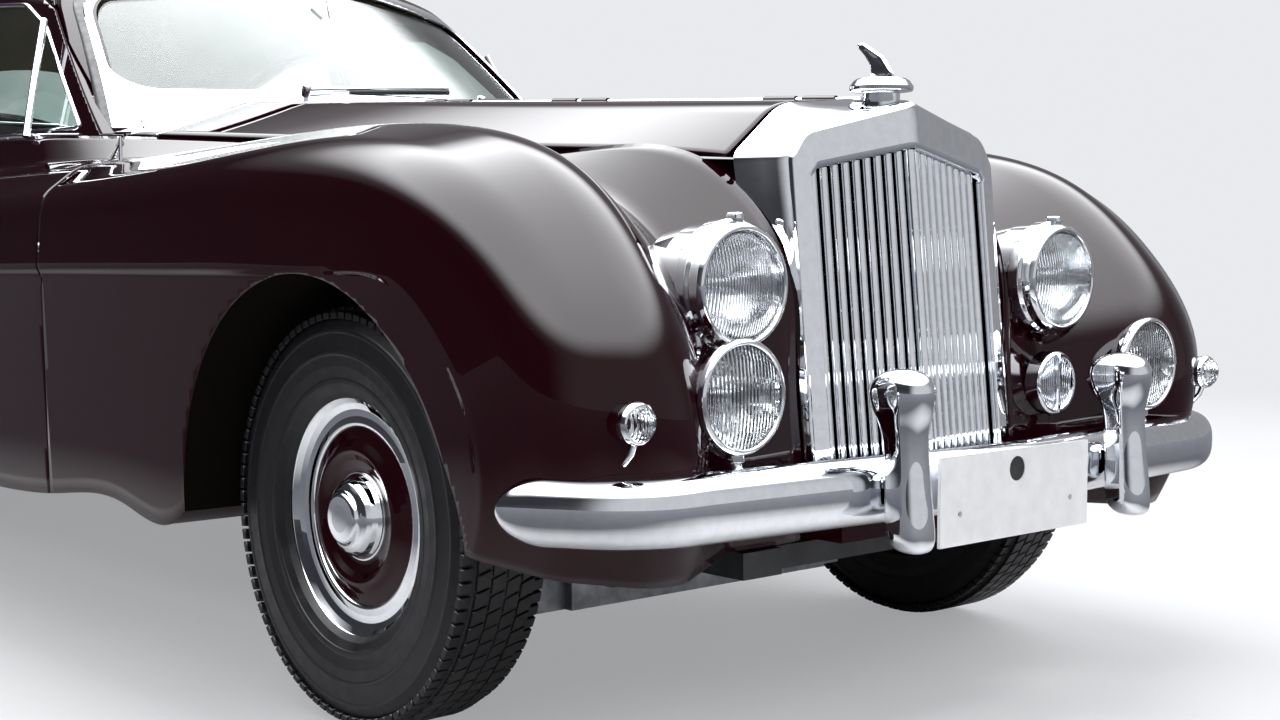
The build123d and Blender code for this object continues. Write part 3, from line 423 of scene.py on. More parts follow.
def polygonField(outline, first, second, inside=True, grow=0.0):
    ring = np.asarray(outline, float)

    def field(grid):
        p = grid[..., (first, second)]
        best = np.full(p.shape[:2], 1e9)
        within = np.zeros(p.shape[:2], bool)
        for a, b in zip(ring, np.roll(ring, -1, axis=0)):
            e = b - a
            w = p - a
            s = np.clip((w @ e) / (e @ e), 0, 1)
            best = np.minimum(best, np.linalg.norm(w - s[..., None] * e, axis=2))
            cross = (a[1] > p[..., 1]) != (b[1] > p[..., 1])
            at = (b[0] - a[0]) * (p[..., 1] - a[1]) / (b[1] - a[1] + 1e-12) + a[0]
            within ^= cross & (p[..., 0] < at)
        signed = np.where(within, best, -best) + grow
        return signed if inside else -signed
    return field


def roundOutline(outline, radius, steps=6):
    ring = [np.asarray(p, float) for p in outline]
    out = []
    n = len(ring)
    for i in range(n):
        a, b, c = ring[i - 1], ring[i], ring[(i + 1) % n]
        u, v = a - b, c - b
        lu, lv = np.linalg.norm(u), np.linalg.norm(v)
        reach = min(radius, 0.45 * lu, 0.45 * lv)
        for k in range(steps + 1):
            t = k / steps
            out.append((1 - t) ** 2 * (b + u / lu * reach) + 2 * t * (1 - t) * b + t ** 2 * (b + v / lv * reach))
    return np.array(out)


def archField(centre, radius):
    return lambda grid: np.hypot(grid[..., 0] - centre, grid[..., 2] - wheelHigh) - radius


def aboveField(axis, value, sign=1):
    return lambda grid: sign * (grid[..., axis] - value)


# thin pressed panel, drawn for the left and mirrored for the right
def skin(name, grid, fields, material, body, slot, lift, side=1, thickness=1.6):
    lifted = grid + gridNormals(grid) * lift
    points, faces = trimmedGrid(lifted, fields)
    if side < 0:
        points = points * np.array([1, -1, 1])
    made = linkMesh(name, toFrame(points), faces, material, body, slot)
    work = bmesh.new()
    work.from_mesh(made.data)
    loose = [v for v in work.verts if not v.link_faces]
    bmesh.ops.delete(work, geom=loose, context="VERTS")
    bmesh.ops.remove_doubles(work, verts=work.verts, dist=2e-5)
    if side < 0:
        bmesh.ops.reverse_faces(work, faces=work.faces)
    work.to_mesh(made.data)
    work.free()
    return solidify(made, thickness / 1000.0)


# body side, nose to tail, as drawn in the part's own section tables
noseRows = [(-10, 262, 275, 470, 430, 470, 645, 580, 790, 475, 846, 335, 848, 250, 110),
            (0, 262, 275, 480, 430, 476, 655, 614, 803, 508, 853, 360, 855, 250, 120),
            (20, 264, 280, 500, 430, 482, 662, 665, 842, 568, 872, 400, 872, 250, 130),
            (40, 272, 292, 592, 430, 492, 652, 652, 855, 575, 880, 400, 878, 250, 130),
            (62, 300, 335, 636, 440, 510, 645, 640, 868, 570, 886, 400, 882, 250, 130)]
sideRows = [(100, 372, 388, 1000, 455, 948, 640, 1045, 876, 988, 888, 790, 884, 670, 130),
            (-250, 374, 452, 1018, 522, 975, 680, 1046, 881, 985, 891, 786, 888, 520, 120),
            (-430, 376, 495, 1028, 565, 988, 710, 1034, 883, 972, 891, 784, 880, 330, 110),
            (-700, 480, 562, 1044, 625, 1002, 752, 1016, 885, 950, 891, 781, 873, 322, 100),
            (-1020, 630, 656, 1062, 712, 1010, 792, 996, 887, 926, 892, 777, 868, 305, 95),
            (-1500, 690, 742, 1078, 775, 1005, 825, 972, 890, 896, 895, 770, 866, 285, 95),
            (-2000, 690, 752, 1076, 790, 985, 835, 942, 894, 870, 898, 766, 866, 285, 95),
            (-2350, 690, 750, 1070, 795, 966, 840, 928, 899, 868, 903, 762, 870, 290, 95),
            (-2700, 650, 742, 1060, 800, 952, 848, 938, 905, 882, 907, 758, 876, 300, 95),
            (-3048, 600, 715, 1042, 770, 940, 848, 965, 908, 905, 908, 752, 880, 330, 65),
            (-3500, 560, 640, 985, 715, 915, 800, 960, 897, 895, 901, 735, 872, 350, 75),
            (-3900, 480, 545, 895, 640, 850, 735, 905, 850, 840, 862, 705, 835, 385, 95),
            (-4180, 400, 455, 800, 540, 765, 650, 820, 760, 765, 776, 665, 742, 420, 80),
            (-4290, 340, 400, 735, 470, 706, 560, 750, 645, 706, 668, 640, 632, 440, 60)]
roofRows = [(-1000, 524, 1376, 1470), (-1300, 552, 1432, 1532), (-1700, 576, 1482, 1588),
            (-2100, 590, 1514, 1622), (-2600, 578, 1478, 1588), (-3050, 525, 1372, 1488),
            (-3500, 445, 1194, 1312), (-3900, 360, 1012, 1118), (-4180, 290, 862, 938),
            (-4290, 250, 775, 836)]
doorOutline = [(-1062, 200), (-1024, 780), (-1036, 1000), (-1092, 1078), (-1175, 1080), (-1590, 1402),
               (-1740, 1462), (-2000, 1482), (-2180, 1478), (-2250, 1440), (-2250, 200)]
windowOutline = [(-1262, 1092), (-1598, 1352), (-1748, 1420), (-2000, 1440), (-2165, 1436), (-2190, 1092)]
quarterOutline = [(-2330, 1092), (-2300, 1428), (-2560, 1408), (-2840, 1330), (-3060, 1200), (-3090, 1096)]
rearOutline = [(-3130, 360), (-3520, 300), (-3520, -300), (-3130, -360)]
bootOutline = [(-3700, 330), (-4180, 250), (-4180, -250), (-3700, -330)]


def beadShare(d):
    return float(np.interp(d, [-3600, -3100, -2600, -200, 60], [0.0, 0.4, 1.0, 1.0, 0.0]))


def sideSection(row, turned):
    base = 0.0 if turned else 420.0
    pts = [(row[2 + 2 * k], row[3 + 2 * k] - base) for k in range(6)]
    share = beadShare(row[0]) if not turned else 0.0
    above = (pts[4][0] + 5.5 * share, pts[4][1] + 9)
    below = (pts[4][0] - 3.0 * share, pts[4][1] - 5 - 4 * share)
    pts = pts[:4] + [above, below, pts[5]]
    path = roundedPath(pts, [0, 45, row[14], row[14], 30, 30, 0], [5, 6, 8, 12, 2, 14],
                       [0, 6, 14, 12, 4, 4, 0])
    angle = math.radians(row[0] if turned else 90.0)
    origin = 100.0 if turned else row[0]
    return np.array([(origin + b * math.cos(angle), y, 420.0 + b * math.sin(angle)) for y, b in path])


def valueAt(d, column):
    ds = [r[0] for r in sideRows][::-1]
    return float(np.interp(d, ds, [r[column] for r in sideRows][::-1]))


def roofSection(row, fine=1):
    beltY, beltZ = valueAt(row[0], 2), valueAt(row[0], 3)
    bend = min(150.0, 0.55 * (row[2] - beltZ))
    pts = [(beltY, beltZ), (row[1], row[2]), (0, row[3]), (-row[1], row[2]), (-beltY, beltZ)]
    path = roundedPath(pts, [0, bend, 900, bend, 0], [14 * fine, 7, 7, 14 * fine], [0, 12, 10, 12, 0])
    return np.array([(row[0], y, z) for y, z in path])


sideGrid = splineRows([sideSection(r, True) for r in noseRows] + [sideSection(r, False) for r in sideRows],
                      300)
roofGrid = splineRows([roofSection(r) for r in roofRows], 210)
frameGrid = splineRows([roofSection(r, 4) for r in roofRows], 620)
sideGrid = facing(sideGrid, 200, 60, 1)
roofGrid, frameGrid = (facing(grid, 100, grid.shape[1] // 2, 2) for grid in (roofGrid, frameGrid))
shutFront = polygonField(doorOutline, 0, 2, inside=False, grow=-1.0)
doorShape = polygonField(doorOutline, 0, 2, inside=True, grow=-6.0)
doorMiddle = -1700.0
aheadOfDoor = aboveField(0, doorMiddle, 1)
behindDoor = aboveField(0, doorMiddle, -1)
noWindow = polygonField(windowOutline, 0, 2, inside=False)
for side, word in bothSides:
    wingFields = [aheadOfDoor, shutFront, archField(0, archRadius)]
    skin(word + "FrontWingSkin", sideGrid, wingFields, *panel, skinLift, side)
    wingFields = [behindDoor, shutFront, archField(-wheelBase, archRadius)]
    skin(word + "RearWingSkin", sideGrid, wingFields, *panel, skinLift, side)
    skin(word + "DoorSkin", sideGrid, [doorShape], paint, word + "_door", "paint", skinLift, side)
    skin(word + "DoorFrameSkin", frameGrid, [doorShape, noWindow, aboveField(1, 5, 1)], paint, word + "_door",
         "paint", skinLift, side)
bootRing = roundOutline(bootOutline, 30)
roofFields = [shutFront, polygonField(roundOutline(quarterOutline, 26), 0, 2, False),
              polygonField(roundOutline(rearOutline, 60), 0, 1, False),
              polygonField(bootRing, 0, 1, False, 4.5)]


# roof ends along the curved head of the windscreen
def screenCut(grid):
    d, y, z = grid[..., 0], grid[..., 1], grid[..., 2]
    centre = np.interp(z, [1100, 1320, 1580, 1700], [-905, -1190, -1580, -1760])
    half = np.interp(z, [1100, 1320, 1580], [655, 595, 520])
    corner = np.interp(z, [1100, 1320, 1580, 1700], [-1215, -1445, -1790, -1960])
    line = centre + (corner - centre) * np.minimum(np.abs(y) / half, 1.15) ** 2
    return line - 12 - d


skin("roofSkin", roofGrid, roofFields + [screenCut], *panel, skinLift)
skin("bootSkin", roofGrid, [polygonField(bootRing, 0, 1, True, -4.5)], paint, "boot", "paint", skinLift)
skin("roofLining", roofGrid, roofFields + [screenCut, aboveField(0, -3140)], headlining, "car_body", "hide",
     -43.0)
print("stage: body skins")


# bonnet leaves and the scuttle ahead of the screen
def seamAt(d):
    ds = [446, 300] + [r[0] for r in sideRows]
    ys = [324, 352] + [r[2] for r in sideRows]
    zs = [976, 990] + [r[3] for r in sideRows]
    return float(np.interp(d, ds[::-1], ys[::-1])), float(np.interp(d, ds[::-1], zs[::-1]))


def crownAt(d):
    return 1115.8 - 0.051 * d


def bonnetSection(d):
    top = crownAt(d)
    y, z = seamAt(d)
    path = roundedPath([(3, top), (0.62 * (y - 2), top - 16), (y - 2, z + 6)], [0, 134, 0], [12, 8],
                       [0, 14, 0])
    return np.array([(d, py, pz) for py, pz in path])


bonnetGrid = splineRows([bonnetSection(d) for d in (446, 260, 100, -250, -600, -990)], 120)
bonnetGrid = facing(bonnetGrid, 60, 10, 2)
for side, word in bothSides:
    skin(word + "BonnetSkin", bonnetGrid, [aboveField(1, 14)], paint, word + "_bonnet", "paint", skinLift,
         side)
rows = []
for d in np.linspace(-994, -1330, 30):
    top = min(crownAt(d), 1172)
    half = valueAt(d, 2) - 4
    edge = valueAt(d, 3) + 4
    path = roundedPath([(half, edge), (0.62 * half, top - 16), (0, top), (-0.62 * half, top - 16),
                       (-half, edge)], [0, 120, 600, 120, 0], 8, [0, 10, 10, 10, 0])
    rows.append([(d, y, z) for y, z in path])
scuttleGrid = facing(np.array(rows), 10, len(rows[0]) // 2, 2)
skin("scuttleSkin", scuttleGrid, [polygonField(doorOutline, 0, 2, False)], *panel, 2.2)
print("stage: bonnet and scuttle")


# turned piece: (radius, distance along the axis) pairs spun about the axis
def lathe(name, profile, place, axis, material, body, slot, segments=96, radii=0.0, arcSteps=5):
    path = [np.asarray(p, float) for p in profile]
    if radii:
        path = roundedPath(path, [radii] * len(path), 1, arcSteps)
    axis = Vector(axis).normalized()
    turn = Vector((0, 0, 1)).rotation_difference(axis).to_matrix()
    centre = Vector(toFrame([place])[0])
    verts = []
    for r, along in path:
        for k in range(segments):
            a = 2 * math.pi * k / segments
            verts.append(turn @ Vector((r * math.cos(a), r * math.sin(a), along)) / 1000.0 + centre)
    faces = ringQuads(len(path), segments)
    made = linkMesh(name, verts, faces, material, body, slot, weld=1e-5)
    return sharpAt(fixNormals(made), 40)


def tube(name, path, radius, material, body, slot, sides=12, flat=1.0):
    path = [Vector(p) for p in toFrame(path)]
    verts = []
    for i, p in enumerate(path):
        ahead = (path[min(i + 1, len(path) - 1)] - path[max(i - 1, 0)]).normalized()
        across = ahead.cross(Vector((0, 0, 1)))
        across = across.normalized() if across.length > 1e-4 else Vector((0, 1, 0))
        up = across.cross(ahead).normalized()
        for k in range(sides):
            a = 2 * math.pi * k / sides
            verts.append(p + (across * math.cos(a) + up * math.sin(a) * flat) * radius / 1000.0)
    faces = ringQuads(len(path), sides)
    faces.append(tuple(range(sides))[::-1])
    faces.append(tuple((len(path) - 1) * sides + k for k in range(sides)))
    return sharpAt(fixNormals(linkMesh(name, verts, faces, material, body, slot)), 50)


def loopsMesh(name, loops, material, body, slot):
    loops = np.asarray(loops)
    verts = toFrame(loops.reshape(-1, 3))
    faces = ringQuads(len(loops), loops.shape[1])
    return fixNormals(linkMesh(name, verts, faces, material, body, slot, weld=1e-5))


# box with rounded edges whose faces swell by the bulge
def softBox(name, low, high, bulge, edge, material, body, slot, cuts=14):
    work = bmesh.new()
    bmesh.ops.create_cube(work, size=2.0)
    bmesh.ops.subdivide_edges(work, edges=work.edges, cuts=cuts, use_grid_fill=True)
    low, high = np.asarray(low, float), np.asarray(high, float)
    half, mid = (high - low) / 2, (high + low) / 2
    for v in work.verts:
        p = np.array(v.co)
        inner = np.maximum(half - edge, 1.0)
        core = np.clip(p * half, -inner, inner)
        away = p * half - core
        size = np.linalg.norm(away)
        spot = core + (away / size * edge if size > 1e-6 else away)
        crown = np.prod([1 - (p[k] * 0.98) ** 2 if abs(p[k]) < 0.999 else 1.0 for k in range(3)])
        spot = spot + np.sign(np.where(np.abs(p) > 0.999, p, 0)) * bulge * crown
        v.co = Vector(toFrame([spot + mid])[0])
    mesh = bpy.data.meshes.new(name)
    work.to_mesh(mesh)
    work.free()
    return enter(name, mesh, material, body, slot)


def openGroup(name, **sockets):
    tree = bpy.data.node_groups.new(name, "GeometryNodeTree")
    for label, kind in sockets.items():
        tree.interface.new_socket(label, in_out="INPUT", socket_type="NodeSocket" + kind)
    tree.interface.new_socket("Geometry", in_out="OUTPUT", socket_type="NodeSocketGeometry")
    return tree, addNode(tree, "NodeGroupInput").outputs


def closeGroup(tree, given, points, **turned):
    source = addNode(tree, "GeometryNodeObjectInfo", {"Object": given["Source"]}).outputs["Geometry"]
    placed = addNode(tree, "GeometryNodeInstanceOnPoints", {"Points": points, "Instance": source, **turned})
    solid = addNode(tree, "GeometryNodeRealizeInstances", {"Geometry": placed.outputs[0]})
    done = addNode(tree, "GeometryNodeSetMaterial", {"Geometry": solid.outputs[0],
                                                     "Material": given["Finish"]})
    addNode(tree, "NodeGroupOutput", {0: done.outputs[0]})
    return tree


# node group that repeats a source piece along a straight run of points
def lineGroup(name):
    tree, given = openGroup(name, Source="Object", Count="Int", Start="Vector", Step="Vector",
                            Shrink="Vector", Finish="Material")
    run = {"Count": given["Count"], "Start Location": given["Start"], "Offset": given["Step"]}
    points = addNode(tree, "GeometryNodeMeshLine", run, mode="OFFSET").outputs[0]
    index = addNode(tree, "GeometryNodeInputIndex").outputs[0]
    less = addNode(tree, "ShaderNodeVectorMath", {0: given["Shrink"], "Scale": index},
                   operation="SCALE").outputs[0]
    scale = addNode(tree, "ShaderNodeVectorMath", {0: (1, 1, 1), 1: less}, operation="SUBTRACT").outputs[0]
    return closeGroup(tree, given, points, Scale=scale)


# node group that repeats a source piece round the wheel's axis
def ringGroup(name):
    tree, given = openGroup(name, Source="Object", Count="Int", Radius="Float", Centre="Vector",
                            Phase="Float", Finish="Material")
    points = addNode(tree, "GeometryNodeMeshLine", {"Count": given["Count"]}, mode="OFFSET").outputs[0]
    index = addNode(tree, "GeometryNodeInputIndex").outputs[0]
    part = mathNode(tree, "DIVIDE", mathNode(tree, "ADD", index, given["Phase"]), given["Count"])
    angle = mathNode(tree, "MULTIPLY", part, 2 * math.pi)
    turn = addNode(tree, "ShaderNodeCombineXYZ", {1: angle}).outputs[0]
    reach = addNode(tree, "ShaderNodeCombineXYZ", {0: given["Radius"]}).outputs[0]
    swung = addNode(tree, "ShaderNodeVectorRotate", {"Vector": reach, "Rotation": turn},
                    rotation_type="EULER_XYZ")
    spot = addNode(tree, "ShaderNodeVectorMath", {0: swung.outputs[0], 1: given["Centre"]},
                   operation="ADD").outputs[0]
    moved = addNode(tree, "GeometryNodeSetPosition", {"Geometry": points, "Position": spot}).outputs[0]
    return closeGroup(tree, given, moved, Rotation=turn)


def repeated(name, group, values, body):
    mesh = bpy.data.meshes.new(name)
    made = bpy.data.objects.new(name, mesh)
    bpy.context.scene.collection.objects.link(made)
    mod = made.modifiers.new("repeat", "NODES")
    mod.node_group = group
    for item in group.interface.items_tree:
        if item.item_type == "SOCKET" and item.in_out == "INPUT" and item.name in values:
            mod[item.identifier] = values[item.name]
    bake(made)
    made.data.polygons.foreach_set("use_smooth", [True] * len(made.data.polygons))
    sharpAt(made, 40)
    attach(made, body)
    return made


def sourcePiece(name, verts, faces, bevel=0.0, segments=2):
    mesh = bpy.data.meshes.new(name)
    mesh.from_pydata(verts, [], faces)
    work = bmesh.new()
    work.from_mesh(mesh)
    bmesh.ops.recalc_face_normals(work, faces=work.faces)
    if bevel:
        bmesh.ops.bevel(work, geom=list(work.edges), offset=bevel, segments=segments, affect="EDGES",
                        profile=0.5)
    work.to_mesh(mesh)
    work.free()
    made = bpy.data.objects.new(name, mesh)
    bpy.context.scene.collection.objects.link(made)
    return made


# box whose far side can be slid up by the slant
def block(low, high, slant=0.0):
    (a, b, c), (d, e, f) = low, high
    g, h = c + slant, f + slant
    verts = [(a, b, c), (d, b, c), (d, e, g), (a, e, g), (a, b, f), (d, b, f), (d, e, h), (a, e, h)]
    return verts, [(0, 3, 2, 1), (4, 5, 6, 7), (0, 1, 5, 4), (1, 2, 6, 5), (2, 3, 7, 6), (3, 0, 4, 7)]


def dropSource(made):
    mesh = made.data
    bpy.data.objects.remove(made)
    bpy.data.meshes.remove(mesh)


runGroup = lineGroup("repeatInLine")
roundGroup = ringGroup("repeatInRing")
print("stage: helpers ready")


# radiator shell: plated surround with a peaked top, leaned back about its foot
shellSpec = {"foot": (650.0, 415.0), "lean": 5.8, "vee": 37.0, "mouthHalf": 221.0, "mouthLow": 446.0,
             "mouthTop": 1003.0, "slats": 9, "slatBack": 0.0041}


def leaned(points):
    a = math.radians(shellSpec["lean"])
    fd, fz = shellSpec["foot"]
    out = np.asarray(points, float).copy()
    d, z = out[..., 0] - fd, out[..., 2] - fz
    out[..., 0] = fd + d * math.cos(a) - z * math.sin(a)
    out[..., 2] = fz + d * math.sin(a) + z * math.cos(a)
    return out


def closedRing(pts, bends):
    half = roundedPath(pts, bends, [6, 16, 4, 12], [0, 4, 8, 12, 0])
    mirrorHalf = half[::-1] * np.array([-1, 1])
    return np.concatenate([half, mirrorHalf[1:]])


def veeDrop(ring):
    return shellSpec["vee"] * np.abs(ring[:, 0]) / shellSpec["mouthHalf"]


outer = closedRing([(0, 415), (268, 415), (268, 990), (236, 1036), (0, 1088)], [0, 8, 34, 44, 0])
rear = closedRing([(0, 415), (274, 415), (322, 1002), (200, 1094), (0, 1112)], [0, 8, 30, 120, 0])
mouth = closedRing([(0, 452), (226, 452), (226, 955), (214, 968), (0, 1005)], [0, 6, 8, 8, 0])
front, shellFoot = shellSpec["foot"]
loops = []
for share, depth in ((0, -130), (0.25, -96), (0.5, -64), (0.75, -34), (0.86, -20)):
    ring = rear * (1 - share) + outer * share
    loops.append(leaned([(front + depth - drop * share, y, z) for (y, z), drop in zip(ring, veeDrop(ring))]))
for share, depth in ((0.0, -9), (0.03, -4), (0.09, -1), (0.18, 0.5), (0.4, 0.5), (0.7, 0), (0.9, -0.5),
                     (0.97, -2.5), (1.0, -7), (1.0, -30), (1.0, -100)):
    ring = outer * (1 - share) + mouth * share
    loops.append(leaned([(front + depth - drop, y, z) for (y, z), drop in zip(ring, veeDrop(ring))]))
shell = loopsMesh("radiatorShell", loops, *bright)
sharpAt(shell, 32)
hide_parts("radiator_shell")
slatHigh = (shellSpec["mouthTop"] - shellSpec["mouthLow"]) / 1000.0
profile = roundedPath([(-0.050, -0.0085), (0.0, -0.0085), (0.0, 0.0085), (-0.050, 0.0085)],
                      [0, 0.0075, 0.0075, 0], 1, 6)
verts = [(x, y, z * slatHigh) for z in (0, 1) for x, y in profile]
count = len(profile)
faces = [(k, (k + 1) % count, count + (k + 1) % count, count + k) for k in range(count)]
faces += [tuple(range(count))[::-1], tuple(range(count, 2 * count))]
slat = sourcePiece("slatSource", verts, faces)
step = shellSpec["mouthHalf"] / (shellSpec["slats"] + 0.5) / 1000.0
back = shellSpec["slatBack"]
start = toFrame([(front - 14, 0, shellSpec["mouthLow"])])[0]
grilleParts = []
for side, word in bothSides:
    values = {"Source": slat, "Count": shellSpec["slats"], "Start": (start[0] - back, side * step, start[2]),
              "Step": (-back, side * step, 0.0), "Shrink": (0.0, 0.0, 0.0072), "Finish": chrome}
    grilleParts.append(repeated(word + "GrilleSlats", runGroup, values, "car_body"))
verts = [(x * 1.1 + start[0] + 0.006, y * 1.25, start[2] + z * slatHigh) for z in (0, 1) for x, y in profile]
grilleParts.append(linkMesh("grilleCentreBar", verts, faces, *bright))
for made in grilleParts:
    turnAbout(made, (front, 0, shellFoot), -shellSpec["lean"])
    made.data.update()
sharpAt(grilleParts[2], 40)
dropSource(slat)
back = [(front - 98 - 0.1 * abs(y), y, z) for y, z in mouth]
centre = np.mean(np.array(back), axis=0)
verts = list(toFrame(leaned(back))) + [toFrame(leaned([centre]))[0]]
ringCount = len(back)
faces = [(k, (k + 1) % ringCount, ringCount) for k in range(ringCount)]
linkMesh("grilleBacking", verts, faces, coreDarkAndHoleShade, "car_body", "chassis_black")
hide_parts("radiator_grille")
capSpot = (508, 0, 1088)
cap = lathe("radiatorCap", [(0, -34), (33, -34), (33, 14), (56, 16), (57, 24), (50, 34), (44, 38), (0, 39)],
            capSpot, (0, 0, 1), *bright, 72, 3.0)
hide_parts("radiator_cap")
bladeSide = roundedPath([(24, 34), (30, 44), (4, 78), (-44, 106), (-62, 104), (-40, 84), (-22, 60),
                        (-20, 34)], [0, 6, 22, 8, 4, 20, 14, 0], 4, 5)
middle = bladeSide.mean(axis=0)
rows = []
for wide, share in ((-1.0, 0.0), (-5.0, 0.55), (-4.6, 0.8), (-3.0, 0.95), (0.0, 1.0), (3.0, 0.95), (4.6, 0.8),
                    (5.0, 0.55), (1.0, 0.0)):
    rows.append([(capSpot[0] + d, wide, capSpot[2] + z) for d, z in middle + (bladeSide - middle) * share])
loopsMesh("radiatorCapFin", rows, *bright)
print("stage: radiator shell")


# lamps on each side
headSpec = {"place": (600.0, 426.0, 769.0), "radius": 108.0}
fogSpec = {"place": (715.0, 542.0, 606.0), "radius": 88.0}
sideSpec = {"place": (708.0, 750.0, 580.0), "radius": 31.0}
hornSpec = {"place": (606.0, 405.0, 570.0), "radius": 60.0}
silver = (reflector, "car_body", "chrome")
clearLens = (lampGlass, "car_body", "glass")
forward = (1, 0, 0)
for side, word in bothSides:
    d, y, z = spot = np.array(headSpec["place"]) * (1, side, 1)
    r = headSpec["radius"]
    rim = lathe(word + "HeadlampRim", [(r - 34, -165), (r - 16, -150), (r - 8, -100), (r - 6, -60), (r, -52),
                (r, -30), (r - 5, -24), (r - 7, -8), (r - 12, 0), (r - 18, 1), (r - 21, -6), (r - 22, -40)],
                spot, forward, *bright, 128, 4.0)
    lathe(word + "HeadlampBowl", [(r - 22, -10), (r - 30, -40), (r - 55, -72), (20, -88), (0, -88)], spot,
          forward, *silver, 96, 14.0)
    lens = lathe(word + "HeadlampLens", [(0, 12), (30, 11), (58, 6), (80, -2), (r - 21, -7), (r - 21, -11),
                 (80, -7), (58, 1), (30, 6), (0, 7)], spot, forward, *clearLens, 96)
    lathe(word + "HeadlampBulb", [(0, -30), (16, -31), (18, -36), (18, -62), (10, -70), (10, -88)], spot,
          forward, *bright, 32, 2.0)
    softBox(word + "HeadlampClip", (d - 40, y - 8, z + r - 8), (d - 14, y + 8, z + r + 9), 1, 4, *bright, 5)
    d, y, z = spot = np.array(fogSpec["place"]) * (1, side, 1)
    r = fogSpec["radius"]
    drum = lathe(word + "FogDrum", [(0, -62), (40, -58), (68, -44), (82, -24), (r - 2, -14), (r, -10), (r, 0),
                 (r - 5, 4), (r - 9, 2), (r - 10, -8)], spot, forward, *bright, 128, 3.0)
    lathe(word + "FogBowl", [(r - 10, -8), (r - 28, -34), (20, -46), (0, -46)], spot, forward, *silver, 96,
          12.0)
    lathe(word + "FogLens", [(0, 7), (30, 6.5), (60, 3), (r - 10, -2), (r - 10, -6), (60, -1), (30, 2.5),
          (0, 3)], spot, forward, fogGlass, "car_body", "glass", 96)
    lathe(word + "FogShield", [(0, -14), (13, -14), (15, -18), (15, -26), (9, -30), (9, -46)], spot, forward,
          *bright, 32, 1.5)
    tube(word + "FogStay", [(d - 22, y, z - r + 4), (d - 20, y, z - r - 16), (d - 14, y, 492)], 10, *bright,
         14)
    lathe(word + "FogNut", [(0, 10), (13, 10), (15, 6), (15, -6), (0, -6)], (d - 20, y, z - r - 6), (0, 0, 1),
          *bright, 24, 1.5)
    d, y, z = spot = np.array(sideSpec["place"]) * (1, side, 1)
    r = sideSpec["radius"]
    lamp = lathe(word + "SideLamp", [(0, -130), (14, -124), (24, -90), (r - 3, -40), (r - 1, -12),
                 (r - 2, -10)], spot, forward, *panel, 64, 4.0)
    lathe(word + "SideRim", [(r - 3, -12), (r, -10), (r + 1, 0), (r - 1, 6), (r - 4, 8), (r - 6, 6)], spot,
          forward, *bright, 64, 2.0)
    rings = [(5 + k * 3, 21.5 - 0.022 * (k * 3) ** 2 - (1.5 if k % 2 else 0)) for k in range(1, 8)]
    lathe(word + "SideLens", [(0, 21), (5, 22)] + rings + [(r - 6, 6)], spot, forward, *clearLens, 64)
    lathe(word + "SideReflector", [(r - 7, 6), (16, -14), (0, -18)], spot, forward, *silver, 48)
    stem = [(d - 6, y, z - r + 4), (d - 14, y, z - r - 14), (d - 30, y, z - r - 30)]
    tube(word + "SideLampTail", stem, 5, *bright, 10)
    d, y, z = np.array(hornSpec["place"]) * (1, side, 1)
    r = hornSpec["radius"]
    spot = (d - 6, y, z)
    mouthRing = lathe(word + "HornRing", [(r - 12, -34), (r, -30), (r, 0), (r - 4, 5), (r - 9, 3),
                      (r - 12, -6)], spot, forward, *bright, 72, 3.0)
    lathe(word + "HornBack", [(r - 11, -14), (0, -14)], spot, forward, coreDarkAndHoleShade, "car_body", "chassis_black",
          48)
    bar = sourcePiece(word + "HornBarSource", *block((-0.010, -0.0020, -0.050), (0.0, 0.0020, 0.050)), 0.0012)
    place = toFrame([spot])[0]
    for run, end in ((1, "Out"), (-1, "In")):
        values = {"Source": bar, "Count": 7, "Start": (place[0] - 0.002, place[1] + run * 0.006, place[2]),
                  "Step": (0.0, run * 0.0062, 0.0), "Shrink": (0.0, 0.0, 0.052), "Finish": chrome}
        repeated(word + "HornBars" + end, runGroup, values, "car_body")
    dropSource(bar)
    softBox(word + "HornRib", (d - 12, y - 4, z - r + 4), (d + 3, y + 4, z + r - 4), 0, 3, *bright, 5)
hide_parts("headlamps")
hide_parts("headlamp_lenses")
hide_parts("fog_lamps")
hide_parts("side_lamps")
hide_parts("horn_grilles")
print("stage: lamps")


# bumper bars: a deep half-round bar bent in plan, drawn down to round tips
barSpec = {"height": 446.0, "half": 54.0, "deep": 46.0, "back": 14.0, "tipRun": 85.0}


